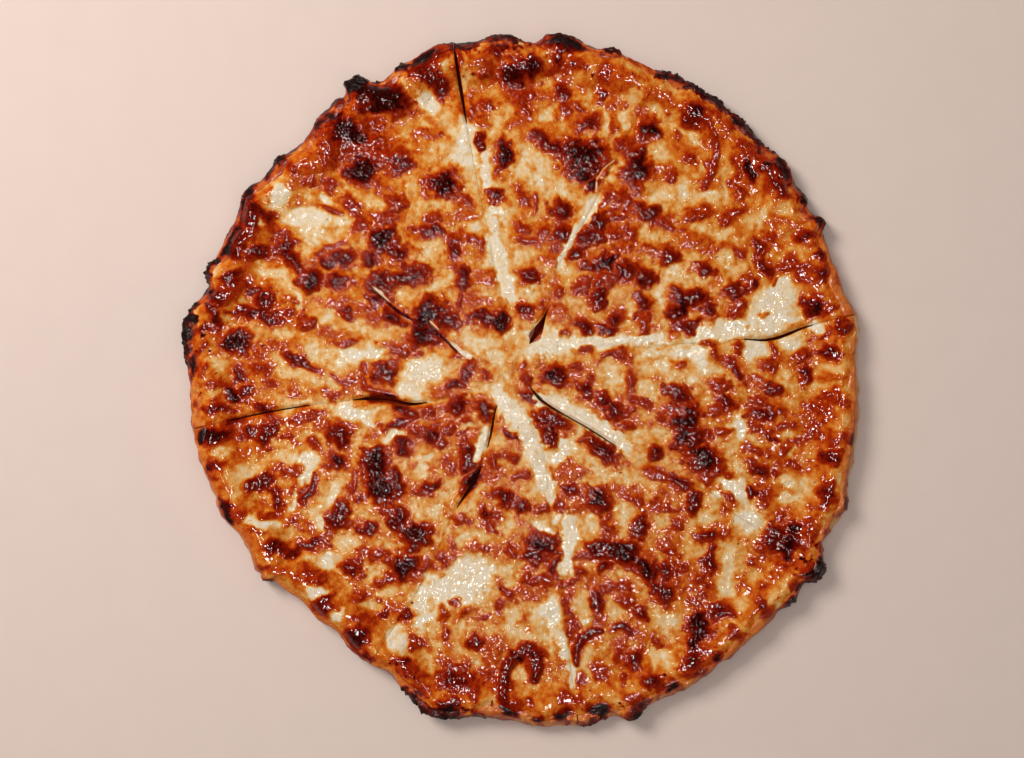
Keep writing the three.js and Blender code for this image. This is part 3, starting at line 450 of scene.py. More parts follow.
# How far the cheese is baked, from 0 for white to 1 for black, with the painted highlights and
# painted cut shadows above stamped into it as white and dark.
PLAIN_TONE = 0.22
RIM_TONE = 0.10                # how much further near the rim
CREAM_TONE = 0.12
WHITE_TONE = 0.03
RING_TONE = 0.55
HALO = 1.45                    # how fast the colour round a blister fades, in mm
HIGHEST_BLISTER = 1.6
STREAM_RISE = 0.35
DISC_REACH = 146               # how far out small blisters lie, in mm
SMALL_BLISTERS = 240
SMALL_RADIUS = (0.9, 2.3)
SMALL_STRETCH = (1, 1.9)
SMALL_TONE = (0.5, 0.68)
SMALL_STEEPNESS = 0.2
# Each kind of browned place, painted cut shadows among them: the share of its size that is dark,
# its tone and how steep it is.
BROWNED_AND_SHADED = [
    (GOLDEN_SPOTS, 0.9, 0.50, 0.12), (RED_BLISTERS, 0.86, 0.63, 0.28),
    (DARK_BLISTERS_AND_CUT_SHADOWS, 0.95, 0.81, 0.32), (CHARRED_BLISTERS_AND_CUT_SHADOWS, 1.0, 0.94, 0.32),
]

toast = PLAIN_TONE + 0.07 * uneven_map(12, 36) + 0.04 * uneven_map(5, 37)
toast += RIM_TONE * ease(np.hypot(map_x, map_y), 100, 140)
rise = np.zeros_like(toast)


def stamp_spot(tone, lift, x, y, long, wide, turn=0):
    """One blister, also used for painted cut shadows: a dark middle in a red and orange ring,
    standing up by lift mm.
    """
    radius = min(long, wide)
    ring_tone = min(tone, RING_TONE)

    def darken(old, size):
        past_edge = (size - 1) * radius
        ring = np.maximum(old, old + (ring_tone - old) * np.exp(-np.clip(past_edge, 0, None) / HALO))
        return np.maximum(ring, ring + (tone - ring) * (1 - ease(past_edge, -0.6 * radius - 0.3, 1.0)))

    def raise_up(old, size):
        return np.maximum(old, lift * np.clip(1 - (size / 1.15) ** 2, 0, 1) ** 1.2)

    stamp(toast, darken, x, y, long, wide, turn)
    stamp(rise, raise_up, x, y, long, wide, turn)


def turn_cream(old, size):
    return old + (CREAM_TONE - old) * (1 - ease(size, 0.6, 1.35))


def turn_white(old, size):
    """White, apart from what is browned already."""
    return old + (WHITE_TONE - old) * (1 - ease(size, 0.5, 1.35)) * (1 - ease(old, 0.5, 0.68))


blister_random = np.random.default_rng(41)
for _ in range(SMALL_BLISTERS):
    reach = DISC_REACH * math.sqrt(blister_random.uniform())
    turn = blister_random.uniform(0, 2 * math.pi)
    radius = blister_random.uniform(*SMALL_RADIUS)
    stretch = blister_random.uniform(*SMALL_STRETCH)
    stamp_spot(blister_random.uniform(*SMALL_TONE), SMALL_STEEPNESS * radius, reach * math.cos(turn),
              reach * math.sin(turn), radius * stretch, radius, math.degrees(turn))
for place in CREAM_PLACES:
    stamp(toast, turn_cream, *place)
for places, share, tone, steepness in BROWNED_AND_SHADED:
    for x, y, long, wide, *turn in places:
        lift = min(steepness * min(long, wide), HIGHEST_BLISTER)
        stamp_spot(tone, lift, x, y, share * long, share * wide, *turn)
for place in WHITE_PLACES:
    stamp(toast, turn_white, *place)


def near_line(points):
    """How far each place of a map lies from a line through the points, in half widths of it."""
    size = np.full_like(map_x, 9.0)
    for (x1, y1, half1), (x2, y2, half2) in zip(points, points[1:]):
        dx, dy = x2 - x1, y2 - y1
        part = np.clip(((map_x - x1) * dx + (map_y - y1) * dy) / (dx * dx + dy * dy), 0, 1)
        off = np.hypot(map_x - x1 - part * dx, map_y - y1 - part * dy)
        size = np.minimum(size, off / (half1 + (half2 - half1) * part))
    return size


for points in WHITE_STREAMS_AND_GLINTS:
    size = near_line(points) * (1 + 2.4 * (ragged - 1))
    toast += (WHITE_TONE - toast) * (1 - ease(size, 0.6, 1.45))
    round_top = np.sqrt(np.clip(1 - size ** 2, 0, 1))
    rise += (STREAM_RISE * round_top - rise) * (1 - ease(size, 0.8, 1.2))
for tone, lift, points in STRANDS_AND_SHADOW_LINES:
    size = near_line(points)
    toast = np.maximum(toast, toast + (tone - toast) * (1 - ease(size, 0.4, 1.7)))
    rise = np.maximum(rise, lift * np.sqrt(np.clip(1 - size ** 2, 0, 1)))
toast += 0.03 * uneven_map(3.4, 45) + 0.02 * uneven_map(1.7, 38)
toast = np.where(toast < WHITE_TONE, WHITE_TONE + 0.3 * (WHITE_TONE - toast), toast)
browned_and_shaded = ease(toast, 0.45, 0.8)
grains = np.maximum(uneven_map(1.5, 39), -0.6)
rise *= 0.25 + 0.75 * ease(toast, 0.1, 0.45)
rise += browned_and_shaded * (0.06 * grains + 0.035 * uneven_map(1.0, 46) + 0.09 * uneven_map(3.2, 40))
rise += 0.06 * uneven_map(4.0, 42) + 0.025 * uneven_map(1.9, 47) + 0.12 * uneven_map(12, 43)


def read_map(field, x, y):
    """The value of a map at places in mm, between its cells."""
    across = np.clip(x / CELL + CELLS / 2, 0, CELLS - 1.001)
    along = np.clip(y / CELL + CELLS / 2, 0, CELLS - 1.001)
    j, i = across.astype(int), along.astype(int)
    right, up = across - j, along - i
    low = field[i, j] * (1 - right) + field[i, j + 1] * right
    high = field[i + 1, j] * (1 - right) + field[i + 1, j + 1] * right
    return low * (1 - up) + high * up


# ---- Crust ------------------------------------------------------------------------------------
# Eight slices of baked wheat dough, stretched by hand, so the rim is uneven. It is pale where it
# is thick and charred where bubbles stood up. The slices were cut with a wheel and lie in place.

MM = 0.001
DISC_SHIFT = (0.22, -0.28)     # where the disc's middle lies from the origin, in mm
MEAN_RADIUS = 152.6
BASE_HEIGHT = 6.0
TALLEST = 15.2
CREST_HEIGHT = 12.4
CREST_DEPTH = 6.5
RIM_SLOPE = 17                 # how far in from its crest the rim slopes down
SIDE_DEPTH = 2.2               # how far the top and the foot of the side lie in from the outline
TIP_WIDTH = 1.6
CUT_WIDTH = 0.9
NARROW_CUT = 0.6               # half width up to which a cut counts as closed
SOFT_FROM = 1.4                # how far below the tallest the heights begin to ease off
SOFT_RISE = 1.35               # how much of that they still climb at most

# Slow swells of the outline: waves round the rim, swell in mm, angle of a crest in degrees.
SWELLS = [(1, 2.9, 16), (2, 2.65, -60), (3, 2.05, 60), (4, 1.83, 1), (5, 1.14, -26)]

# Bumps and dents of the outline: angle, half width in degrees, outward in mm.
EDGE_BUMPS = [
    (10, 4, 2.0), (28, 1.6, 1.6), (39.5, 2.5, 1.4), (68, 2.2, -0.8), (83, 3.5, 2.0), (88, 2, -1.2),
    (94, 2.5, 2.1), (104, 3, 2.4), (114.5, 2.4, -3.0), (132.5, 3.5, -2.6), (146, 3, 3.4), (164, 2.5, -2.2),
    (171, 5, 2.5), (182, 6, -1.5), (204, 3, 2.6), (215, 3.2, 3.6), (225, 3, -1.6), (232.5, 3, -2.2),
    (245, 2, -2.0), (254.5, 4, 4.2), (267, 3, -1.4), (273, 3, 1.0), (279.5, 3, 1.3), (288, 2.5, 2.6),
    (298, 7, 1.4), (312, 8, 0.6), (323, 3, 1.8), (333, 2.2, -0.6), (339, 2.5, 1.8), (349, 7, -0.4),
]

# Crags that stand out steeply from it: angle, half width in degrees, outward in mm.
CRAGS = [
    (11, 3.2, 1.3), (28.6, 0.9, 2.4), (33.2, 1.3, 1.4), (40, 2.8, 1.2), (57, 9, 1.0), (75, 1.6, 1.6),
    (83.5, 3.4, 1.0), (94, 3.0, 0.6), (106, 3.0, 0.8), (111.4, 1.1, 1.3), (119.3, 2.1, 4.9),
    (123.8, 1.2, 1.2), (127.2, 1.8, 1.2), (137.4, 1.3, 1.4), (145.5, 2.2, 0.8), (160.4, 1.8, 1.6),
    (171, 5.0, 1.6), (217.3, 0.9, 2.2), (252, 3.2, 1.2), (257.5, 3.6, 1.2), (281.5, 2.8, 0.8),
    (289.3, 2.9, 0.6), (320.3, 1.8, 0.8), (327.4, 2.4, 5.4), (330.6, 0.9, 1.2), (339.3, 1.6, 1.0),
]

# Stretches where the side slopes out to the table, and bare rim: angle, half width, amount in mm.
SLOPING_SIDES = [(348, 30, 2.6), (207, 9, 1.8), (281, 20, 2.2)]
BARE_RIM_DEPTH = 6.5
BARE_STRETCHES = [
    (133, 5, 2), (119, 4, 2), (181, 8, 2), (207, 6, -2), (226, 14, -3.5), (277, 18, 3), (12, 6, 1.5),
]

# Swollen bubbles of the rim: angle, depth, height of the middle, size out, along and up.
RIM_BUBBLES = [
    (27.8, 4.0, 9.7, 3.8, 3.2, 2.8), (84, 5.0, 9.8, 4.6, 8.0, 3.2), (119.6, 1.6, 8.2, 6.2, 4.4, 5.0),
    (171, 5.2, 9.2, 4.6, 9.5, 3.2), (255, 5.0, 9.0, 4.8, 9.0, 3.4), (288, 4.6, 9.2, 4.6, 6.0, 3.2),
]

# The cuts from the middle to the rim: distance from where they meet in mm, angle in degrees.
MEETING_POINT = (-4.5, 6.3)
CUTS = [
    [(20, 10), (38, 14), (58, 9), (80, 8), (90, 6.5), (102, 7.2), (116, 6.3), (134, 8), (165, 9.2)],
    [(20, 56), (35, 61), (50, 65.5), (64, 64.2), (100, 63.8), (165, 63.4)],
    [(20, 95), (32, 99), (60, 100.4), (165, 100.4)],
    [(20, 167), (31, 159), (57, 152.8), (72, 150.5), (97, 148.3), (165, 147.9)],
    [(20, 210), (36, 203.5), (50, 199), (60, 193.5), (80, 191), (165, 191)],
    [(20, 247), (31, 251.3), (48, 252), (69, 248), (99, 247.5), (136, 244.8), (165, 243.5)],
    [(20, 288.4), (44, 289.5), (62, 285.3), (89, 283.8), (116, 281.7), (165, 280.3)],
    [(20, 311), (30, 317), (41, 320.7), (58, 322.8), (80, 325), (106, 327.7), (116, 326.8), (165, 327.6)],
]
# Where a cut gapes: cut, distance of the widest place, how fast it closes inward and outward, width.
GAPES = [
    (0, 122, 14, 12, 1.3), (1, 17, 2.2, 8, 5.4), (2, 130, 14, 14, 1.5), (4, 59, 11, 9, 3.4),
    (4, 112, 26, 26, 0.5), (5, 28, 9, 9, 0.9), (5, 56, 7, 9, 1.8), (7, 20, 7, 10, 1.5),
    (7, 46, 14, 14, 0.6),
]

SLICES = len(CUTS)
CRUST_ROWS = 66
CRUST_COLUMNS = 150
CRUST_LEVELS = 12
# Share of the rows, from the tip out, that lies within each depth of the rim.
CRUST_STOPS = (0, 0.2, 0.32, 0.5, 0.68, 0.84, 1)
# The side of the rim: share of the levels, from the table up, and depth in from the outline and
# height of the lower ones, in mm.
SIDE_STOPS = (0, 0.12, 0.3, 0.55, 0.8, 1)
LOWER_SIDE = [(SIDE_DEPTH, 0.0), (0.9, 0.9), (0.25, 2.6)]
CLOSED_GAP = 0.06              # half width of what stays open of a cut under the cheese
NARROWED = 0.7                 # how far a narrow cut closes at the top
DEEPEST_DIMPLE = 0.42
# Painted shade: the dough's faces in a cut are dark red-brown for the shadow in the gap and the sauce.
CUT_SHADE_TONE = 0.62                # tone of the dough beside a cut

# Charred stretches of the rim: angle, half width in degrees, depth of the middle and half depth
# in mm, how black.
CHARRED = [
    (28.6, 1.2, 2.2, 3.4, 0.6), (33.2, 1.4, 1.8, 2.4, 0.6), (40, 2.8, 3.0, 4.4, 0.62),
    (45.5, 1.8, 2.2, 2.6, 0.75), (50, 4.5, 2.2, 3.0, 0.78), (57.5, 4.5, 2.4, 3.4, 0.85),
    (64, 3.0, 2.4, 3.2, 0.75), (75, 1.9, 1.8, 2.8, 0.75), (83.5, 3.8, 3.6, 5.6, 0.5),
    (82.5, 2.0, 1.2, 2.2, 0.6), (93.5, 3.2, 2.4, 4.0, 0.66), (99.5, 3.4, 2.2, 3.6, 0.66),
    (106, 3.0, 6, 9, 0.5), (104.5, 4.0, 1.2, 2.4, 0.45), (111.4, 1.1, 1.8, 2.6, 0.85),
    (119.3, 2.4, 2.6, 5.5, 0.9), (115.5, 3.0, 11, 7, 0.42), (123.6, 1.3, 3, 4, 0.65),
    (127, 2.0, 2.4, 3.4, 0.55), (137.4, 1.5, 1.4, 2.6, 0.8), (140, 2.2, 0.8, 1.8, 0.6),
    (145.5, 2.8, 1.2, 2.2, 0.5), (147.3, 0.7, 5, 7, 0.5), (160.4, 2.0, 1.6, 2.8, 0.8),
    (164, 2.2, 0.6, 1.8, 0.5), (171, 4.6, 2.2, 4.2, 0.95), (176.5, 1.6, 2.0, 3.0, 0.6),
    (183.5, 0.9, 4, 1.6, 0.4), (189, 1.2, 4, 6, 0.2), (196.3, 1.0, 5.5, 4.0, 0.35),
    (203.5, 2.4, 3.4, 3.4, 0.38), (217.4, 1.0, 1.2, 2.2, 0.85), (238, 3.8, 1.4, 2.2, 0.35),
    (236.5, 2, 6, 4, 0.2), (251.5, 3.0, 1.8, 3.4, 0.85), (257, 3.8, 3.0, 5.0, 0.85),
    (262.5, 1.6, 2.2, 3.4, 0.6), (272.6, 0.9, 4.4, 2.0, 0.3), (276.6, 1.2, 5.0, 3.6, 0.3),
    (283.3, 2.1, 5.5, 3.0, 0.3), (281.5, 3.2, 1.0, 2.0, 0.8), (289.5, 2.7, 2.4, 4.0, 0.8),
    (294.2, 1.5, 7.5, 3.6, 0.45), (297.2, 0.9, 3.6, 3.4, 0.5), (301.5, 1.6, 4.2, 2.6, 0.4),
    (305.4, 1.2, 5, 2.4, 0.5), (310.6, 1.2, 6, 2.4, 0.4), (316.8, 1.4, 5.8, 2.8, 0.45),
    (320.3, 1.8, 1.8, 3.0, 0.72), (324, 1.6, 2.6, 3.4, 0.5), (327.4, 2.8, 3.4, 5.4, 0.95),
    (330.6, 1.2, 3, 3, 0.6), (333.6, 1.0, 2.0, 2.6, 0.5), (339.3, 1.8, 2.0, 2.8, 0.55),
]
# Stretches where thick dough stayed pale: angle, half width, how pale.
PALE_DOUGH = [
    (340, 22, 0.8), (5, 13, 0.75), (207, 9, 0.6), (280, 17, 0.55), (225, 10, 0.3), (190, 8, 0.35),
    (20, 9, 0.35),
]
# Stretches that baked a deep gold: angle, half width, how much further.
DEEP_GOLD = [
    (133, 11, 0.14), (151, 9, 0.12), (162, 7, 0.12), (173, 7, 0.1), (68, 9, 0.15), (90, 7, 0.15),
    (99, 4, 0.15),
]


def bells(angle, places, power=2):
    """The sum of soft bumps round the rim, each given by its angle, half width and amount."""
    total = np.zeros_like(angle)
    for middle, half, amount in places:
        offset = ((angle - middle + 180) % 360 - 180) / half
        total += amount * np.exp(-np.abs(offset) ** power)
    return total


def outline(angle):
    """How far the rim reaches from the middle, in mm."""
    reach = MEAN_RADIUS + bells(angle, EDGE_BUMPS) + bells(angle, CRAGS, 4)
    for waves, size, crest in SWELLS:
        reach = reach + size * np.cos(waves * np.radians(angle - crest))
    return reach


def bare_depth(angle):
    """How far in from the outline the cheese begins, in mm."""
    return BARE_RIM_DEPTH + bells(angle, BARE_STRETCHES)


def edge_depth(angle):
    """How far in from the outline the top of the side lies, in mm."""
    return SIDE_DEPTH + bells(angle, SLOPING_SIDES)


def polar(x, y):
    """Angle in degrees, depth in from the outline and distance from the middle, of points in mm."""
    angle = np.degrees(np.arctan2(y, x)) % 360
    reach = np.hypot(x, y)
    return angle, outline(angle) - reach, reach


def dough_top(angle, depth):
    """Height of the dough: a rounded shoulder outside the crest, a soft slope inside it."""
    turn = np.radians(angle)
    crest = CREST_HEIGHT + 0.7 * np.cos(3 * turn + 1) + 0.5 * np.cos(7 * turn)
    crest = crest + 0.35 * np.cos(13 * turn + 2)
    shoulder = crest * (1 - 0.24 * (np.clip(CREST_DEPTH - depth, 0, None) / CREST_DEPTH) ** 2)
    down = ease(depth - CREST_DEPTH, 0, RIM_SLOPE)
    return shoulder + (BASE_HEIGHT - crest) * down


def cut_angle(cut, distance):
    """Angle of a cut at a distance from where the cuts meet, on a smooth curve through its points."""
    far, turn = np.array(CUTS[cut % SLICES], dtype=float).T
    chord = np.diff(turn) / np.diff(far)
    slope = np.concatenate([chord[:1], (chord[1:] + chord[:-1]) / 2, chord[-1:]])
    place = np.clip(distance, far[0], far[-1])
    index = np.clip(np.searchsorted(far, place, side="right") - 1, 0, len(far) - 2)
    step = far[index + 1] - far[index]
    part = (place - far[index]) / step
    start = (1 + 2 * part) * (1 - part) ** 2 * turn[index] + part * (1 - part) ** 2 * step * slope[index]
    end = part ** 2 * (3 - 2 * part) * turn[index + 1] + part ** 2 * (part - 1) * step * slope[index + 1]
    return start + end + 360 * (cut // SLICES)


def half_cut(cut, distance):
    """Half the width of a cut at a distance from where the cuts meet."""
    extra = np.zeros_like(distance)
    for at, middle, inward, outward, width in GAPES:
        if at == cut % SLICES:
            half = np.where(distance < middle, inward, outward)
            extra += width * np.exp(-((distance - middle) / half) ** 2)
    return (CUT_WIDTH + extra) / 2


def point_in(slice_number, across, distance, grow=0.0):
    """A point of a slice: `across` runs from one cut to the next. `grow` widens both sides."""
    start_shift = np.degrees((half_cut(slice_number, distance) - grow) / distance)
    end_shift = np.degrees((half_cut(slice_number + 1, distance) - grow) / distance)
    start = cut_angle(slice_number, distance) + start_shift
    end = cut_angle(slice_number + 1, distance) - end_shift
    turn = np.radians(start + (end - start) * across)
    return distance * np.cos(turn) + MEETING_POINT[0], distance * np.sin(turn) + MEETING_POINT[1]


ACROSS_STEPS = np.linspace(0, 1, 241)


def distance_at_depth(slice_number, across, depth_for, grow=0.0):
    """How far out along the slice the point with this depth lies, by halving."""
    near = np.full_like(ACROSS_STEPS, 0.4 * MEAN_RADIUS)
    far = np.full_like(ACROSS_STEPS, 1.2 * MEAN_RADIUS)
    for _ in range(24):
        middle = (near + far) / 2
        angle, depth, _reach = polar(*point_in(slice_number, ACROSS_STEPS, middle, grow))
        inside = depth > depth_for(angle)
        near = np.where(inside, middle, near)
        far = np.where(inside, far, middle)
    return np.interp(across, ACROSS_STEPS, (near + far) / 2)


def share_out(share, stops, reaches):
    """Distances for rows numbered 0 to 1, straight between the reaches at the given stops."""
    distance = reaches[0].copy()
    for low, high, inner, outer in zip(stops, stops[1:], reaches, reaches[1:]):
        part = np.clip((share - low) / (high - low), 0, 1)
        distance += part * (outer - inner)
    return distance


def tip_distance(slice_number, width):
    """How far out a slice is this wide."""
    spread = math.radians(float(cut_angle(slice_number + 1, 0.0) - cut_angle(slice_number, 0.0)))
    return width / spread


def slab(name, rows, columns, levels, finer):
    """A closed slab from a flat grid pulled up; with a finer top it is pulled twice, and the lower
    pull keeps a coarse underside.
    """
    sheet = bmesh.new()
    bmesh.ops.create_grid(sheet, x_segments=rows, y_segments=columns, size=0.5)
    faces = sheet.faces[:]
    within = []
    for height in (0.1, 1.0) if finer > 1 else (1.0,):
        pulled = bmesh.ops.extrude_face_region(sheet, geom=faces)["geom"]
        bmesh.ops.delete(sheet, geom=within, context="FACES")
        for corner in pulled:
            if isinstance(corner, bmesh.types.BMVert):
                corner.co.z = height
        faces = [face for face in pulled if isinstance(face, bmesh.types.BMFace)]
        within = faces
    lowest = 0.05 if finer > 1 else -1.0
    uprights = [edge for edge in sheet.edges
                if edge.verts[0].co.z != edge.verts[1].co.z
                and min(corner.co.z for corner in edge.verts) > lowest]
    bmesh.ops.subdivide_edges(sheet, edges=uprights, cuts=levels - 1, use_grid_fill=True)
    if finer > 1:
        slack = 0.01           # corners of one level can differ in height by rounding
        flat = [edge for edge in sheet.edges
                if abs(edge.verts[0].co.z - edge.verts[1].co.z) < slack and edge.verts[0].co.z > lowest]
        bmesh.ops.subdivide_edges(sheet, edges=flat, cuts=finer - 1, use_grid_fill=True)
    bmesh.ops.recalc_face_normals(sheet, faces=sheet.faces[:])
    mesh = bpy.data.meshes.new(name)
    sheet.to_mesh(mesh)
    sheet.free()
    places = np.empty(len(mesh.vertices) * 3)
    mesh.vertices.foreach_get("co", places)
    out, across, level = places.reshape(-1, 3).T
    return mesh, np.clip(out + 0.5, 0, 1), np.clip(across + 0.5, 0, 1), level


def set_shape(mesh, x, y, z):
    """Moves the vertices to places given in mm, and shades the mesh smooth."""
    places = np.stack([x + DISC_SHIFT[0], y + DISC_SHIFT[1], z], axis=1) * MM
    mesh.vertices.foreach_set("co", places.ravel())
    mesh.polygons.foreach_set("use_smooth", np.ones(len(mesh.polygons), dtype=bool))
    mesh.update()


def set_values(mesh, **fields):
    """Stores values of the surface for the material to read."""
    for name, values in fields.items():
        layer = mesh.attributes.new(name, "FLOAT", "POINT")
        layer.data.foreach_set("value", values.astype(np.float32))


def ripple(x, y, z, size, seed, waves=36):
    """Smooth unevenness of about this size in mm, from crossing waves. Its spread is about 1."""
    random = np.random.default_rng(seed)
    total = np.zeros_like(x)
    for _ in range(waves):
        way = random.normal(size=3)
        way *= 2 * math.pi / (size * random.uniform(0.7, 1.5)) / np.linalg.norm(way)
        total += np.cos(way[0] * x + way[1] * y + way[2] * z + random.uniform(0, 2 * math.pi))
    return total * math.sqrt(2 / waves)


def swell_bubble(x, y, z, bubble):
    """Pushes the skin of the rim out onto a swollen bubble."""
    at, depth, height, out, along, up = bubble
    turn = math.radians(at)
    reach = float(outline(np.array([float(at)]))[0]) - depth
    outward = x * math.cos(turn) + y * math.sin(turn) - reach
    sideways = y * math.cos(turn) - x * math.sin(turn)
    lift = z - height
    size = np.sqrt((outward / out) ** 2 + (sideways / along) ** 2 + (lift / up) ** 2) + 1e-6
    push = np.where(size < 1, 1 / size - 1, 0) * (z > 0.5)
    push = np.minimum(push, 2.5)
    moved = (outward * push, sideways * push, lift * push)
    return (x + moved[0] * math.cos(turn) - moved[1] * math.sin(turn),
            y + moved[0] * math.sin(turn) + moved[1] * math.cos(turn),
            z + moved[2])


def rim_char(angle, depth, x, y):
    """How black the rim is charred at each place."""
    uneven = 1 + 0.22 * ripple(x, y, 0 * x, 5, 6) + 0.14 * ripple(x, y, 0 * x, 2.2, 7)
    char = np.zeros_like(x)
    for at, half, deep, half_deep, black in CHARRED:
        sideways = ((angle - at + 180) % 360 - 180) / half
        size = np.sqrt(sideways ** 2 + ((depth - deep) / half_deep) ** 2) * uneven
        char = np.maximum(char, black * (1 - ease(size, 0.6, 1.25)))
    return char


def held_down(z):
    """Heights eased off near the tallest that the crust and cheese come to."""
    over = z - TALLEST + SOFT_FROM
    return np.where(over > 0, TALLEST - SOFT_FROM + SOFT_RISE * np.tanh(over / SOFT_RISE), z)


def side_of_rim(share, edge, top):
    """Depth in from the outline and height of the side, from the table up to the top's edge."""
    slope = edge - 1.5
    steps = [(np.full_like(edge, deep), np.full_like(edge, high)) for deep, high in LOWER_SIDE]
    steps += [(0.2 + 0.2 * slope, 0.42 * top), (0.75 + 0.45 * slope, np.minimum(8.2, 0.72 * top))]
    steps += [(edge, top)]
    depth, height = np.zeros_like(edge), np.zeros_like(edge)
    for low, high, below, above in zip(SIDE_STOPS, SIDE_STOPS[1:], steps, steps[1:]):
        inside = (share >= low) & (share <= high)
        part = (share - low) / (high - low)
        depth = np.where(inside, below[0] + (above[0] - below[0]) * part, depth)
        height = np.where(inside, below[1] + (above[1] - below[1]) * part, height)
    return depth, height


def crust_grid(number, out, across, level):
    """Where the points of a slice lie before the rim is roughened: places and height in mm."""
    depths = [lambda angle, step=step: bare_depth(angle) + step for step in (17, 8, 0)]
    depths += [lambda angle: 0.55 * bare_depth(angle) + 1, lambda angle: edge_depth(angle) + 1.6, edge_depth]
    reaches = [np.full_like(out, tip_distance(number, TIP_WIDTH + CUT_WIDTH))]
    reaches += [distance_at_depth(number, across, depth) for depth in depths]
    distance = share_out(out, CRUST_STOPS, reaches)
    low_down = 1 - ease(level, 0.5 + 0.25 * ease(distance, 105, 125), 1.0)
    sides = [half_cut(cut, distance) - CLOSED_GAP for cut in (number, number + 1)]
    side_a, side_b = [side * np.maximum(low_down, np.where(side < NARROW_CUT, NARROWED, 0.0))
                      for side in sides]
    x, y = point_in(number, across, distance, side_a * (1 - across) + side_b * across)
    angle, depth, reach = polar(x, y)
    edge = edge_depth(angle)
    top = dough_top(angle, depth)
    near_edge = ease(edge + 6 - depth, 0, 6)
    share = np.clip(level, 0, 1)
    side_depth, side_height = side_of_rim(share, edge, top)
    grow = (edge - side_depth) * near_edge
    z = top * share * (1 - near_edge) + side_height * near_edge
    return x * (1 + grow / reach), y * (1 + grow / reach), z


def crust_slice(number):
    """Shape and baked colour of one slice of crust."""
    mesh, out, across, level = slab(
        f"crust_slice_{number + 1}", CRUST_ROWS, CRUST_COLUMNS, CRUST_LEVELS, 1)
    x, y, z = crust_grid(number, out, across, level)
    for bubble in RIM_BUBBLES:
        x, y, z = swell_bubble(x, y, z, bubble)
    angle, depth, reach = polar(x, y)
    rim = ease(bare_depth(angle) + 1 - depth, 0, 6)
    lumps = 0.42 * ripple(x, y, z, 11, 1) + 0.22 * ripple(x, y, z, 5, 2)
    crackle = 0.10 * ripple(x, y, z, 1.9, 3) - 0.16 * np.exp(-(ripple(x, y, z, 6, 4) / 0.12) ** 2)
    char = rim_char(angle, depth, x, y)
    crags = 0.7 * ease(char, 0.3, 0.9) * (0.6 + np.maximum(ripple(x, y, z, 2.6, 13), -1))
    swell = (lumps + crackle + crags) * rim * ease(z, 0.2, 2.5)
    outward = ease(9 - depth, 0, 9)
    wider = 1 + (0.7 * swell * outward - 0.1 * rim) / reach
    x, y = x * wider, y * wider
    z = held_down(np.maximum(z + swell * (1 - 0.6 * outward), 0))
    underside = level < 0.01
    dimples = 0.25 + 0.25 * ripple(x, y, z * 0, 6, 5)
    z = np.where(underside, np.clip(dimples, 0, DEEPEST_DIMPLE) * ease(depth, 3, 9), z)
    low_x, low_y, high_x, high_y = [
        corner[axis] / MM - DISC_SHIFT[axis] for corner in cad_box for axis in (0, 1)]
    x, y = np.clip(x, low_x, high_x), np.clip(y, low_y, high_y)
    set_shape(mesh, x, y, z)

    pale = np.clip(bells(angle, PALE_DOUGH), 0, 1)
    bake = 0.34 + 0.06 * ripple(x, y, z, 14, 8) + 0.06 * ripple(x, y, z, 5, 9)
    bake += 0.03 * ripple(x, y, z, 2, 10) - 0.24 * pale * ease(11 - z, 0, 5)
    bake += 0.06 * ease(swell, 0.2, 0.9) + 0.32 * ease(3.2 - depth, 0, 3.2) * (1 - pale)
    bake += (0.42 - bake) * 0.6 * ease(depth - bare_depth(angle) + 6, 0, 4)
    bake += 0.56 * ease(read_map(toast, x, y), 0.42, 0.85) * ease(depth, 2, 4)
    bake += bells(angle, DEEP_GOLD) * (1 + 0.4 * ripple(x, y, z, 6, 14))
    # Painted shade on the faces in a cut: dark red-brown for the shadow in the gap and the sauce.
    shaded_cut_wall = ((across < 0.001) | (across > 0.999)) & (level < 0.98) & (depth > 3)
    bake = np.where(shaded_cut_wall, CUT_SHADE_TONE, bake)
    spots = ease(ripple(x, y, z, 9, 11) + 0.6 * ripple(x, y, z, 4, 12), 0.5, 1.7)
    bake = np.where(underside, 0.30 + 0.4 * spots, bake)
    char = np.where(underside, 0.55 * ease(spots, 0.75, 1.2), char)
    set_values(mesh, bake=np.clip(bake, 0, 1), char=np.clip(char, 0, 1))
    return mesh


def maths(tree, operation, *values):
    """The result of one step of arithmetic on values and sockets."""
    return put(tree, "ShaderNodeMath", {"operation": operation}, dict(enumerate(values))).outputs[0]


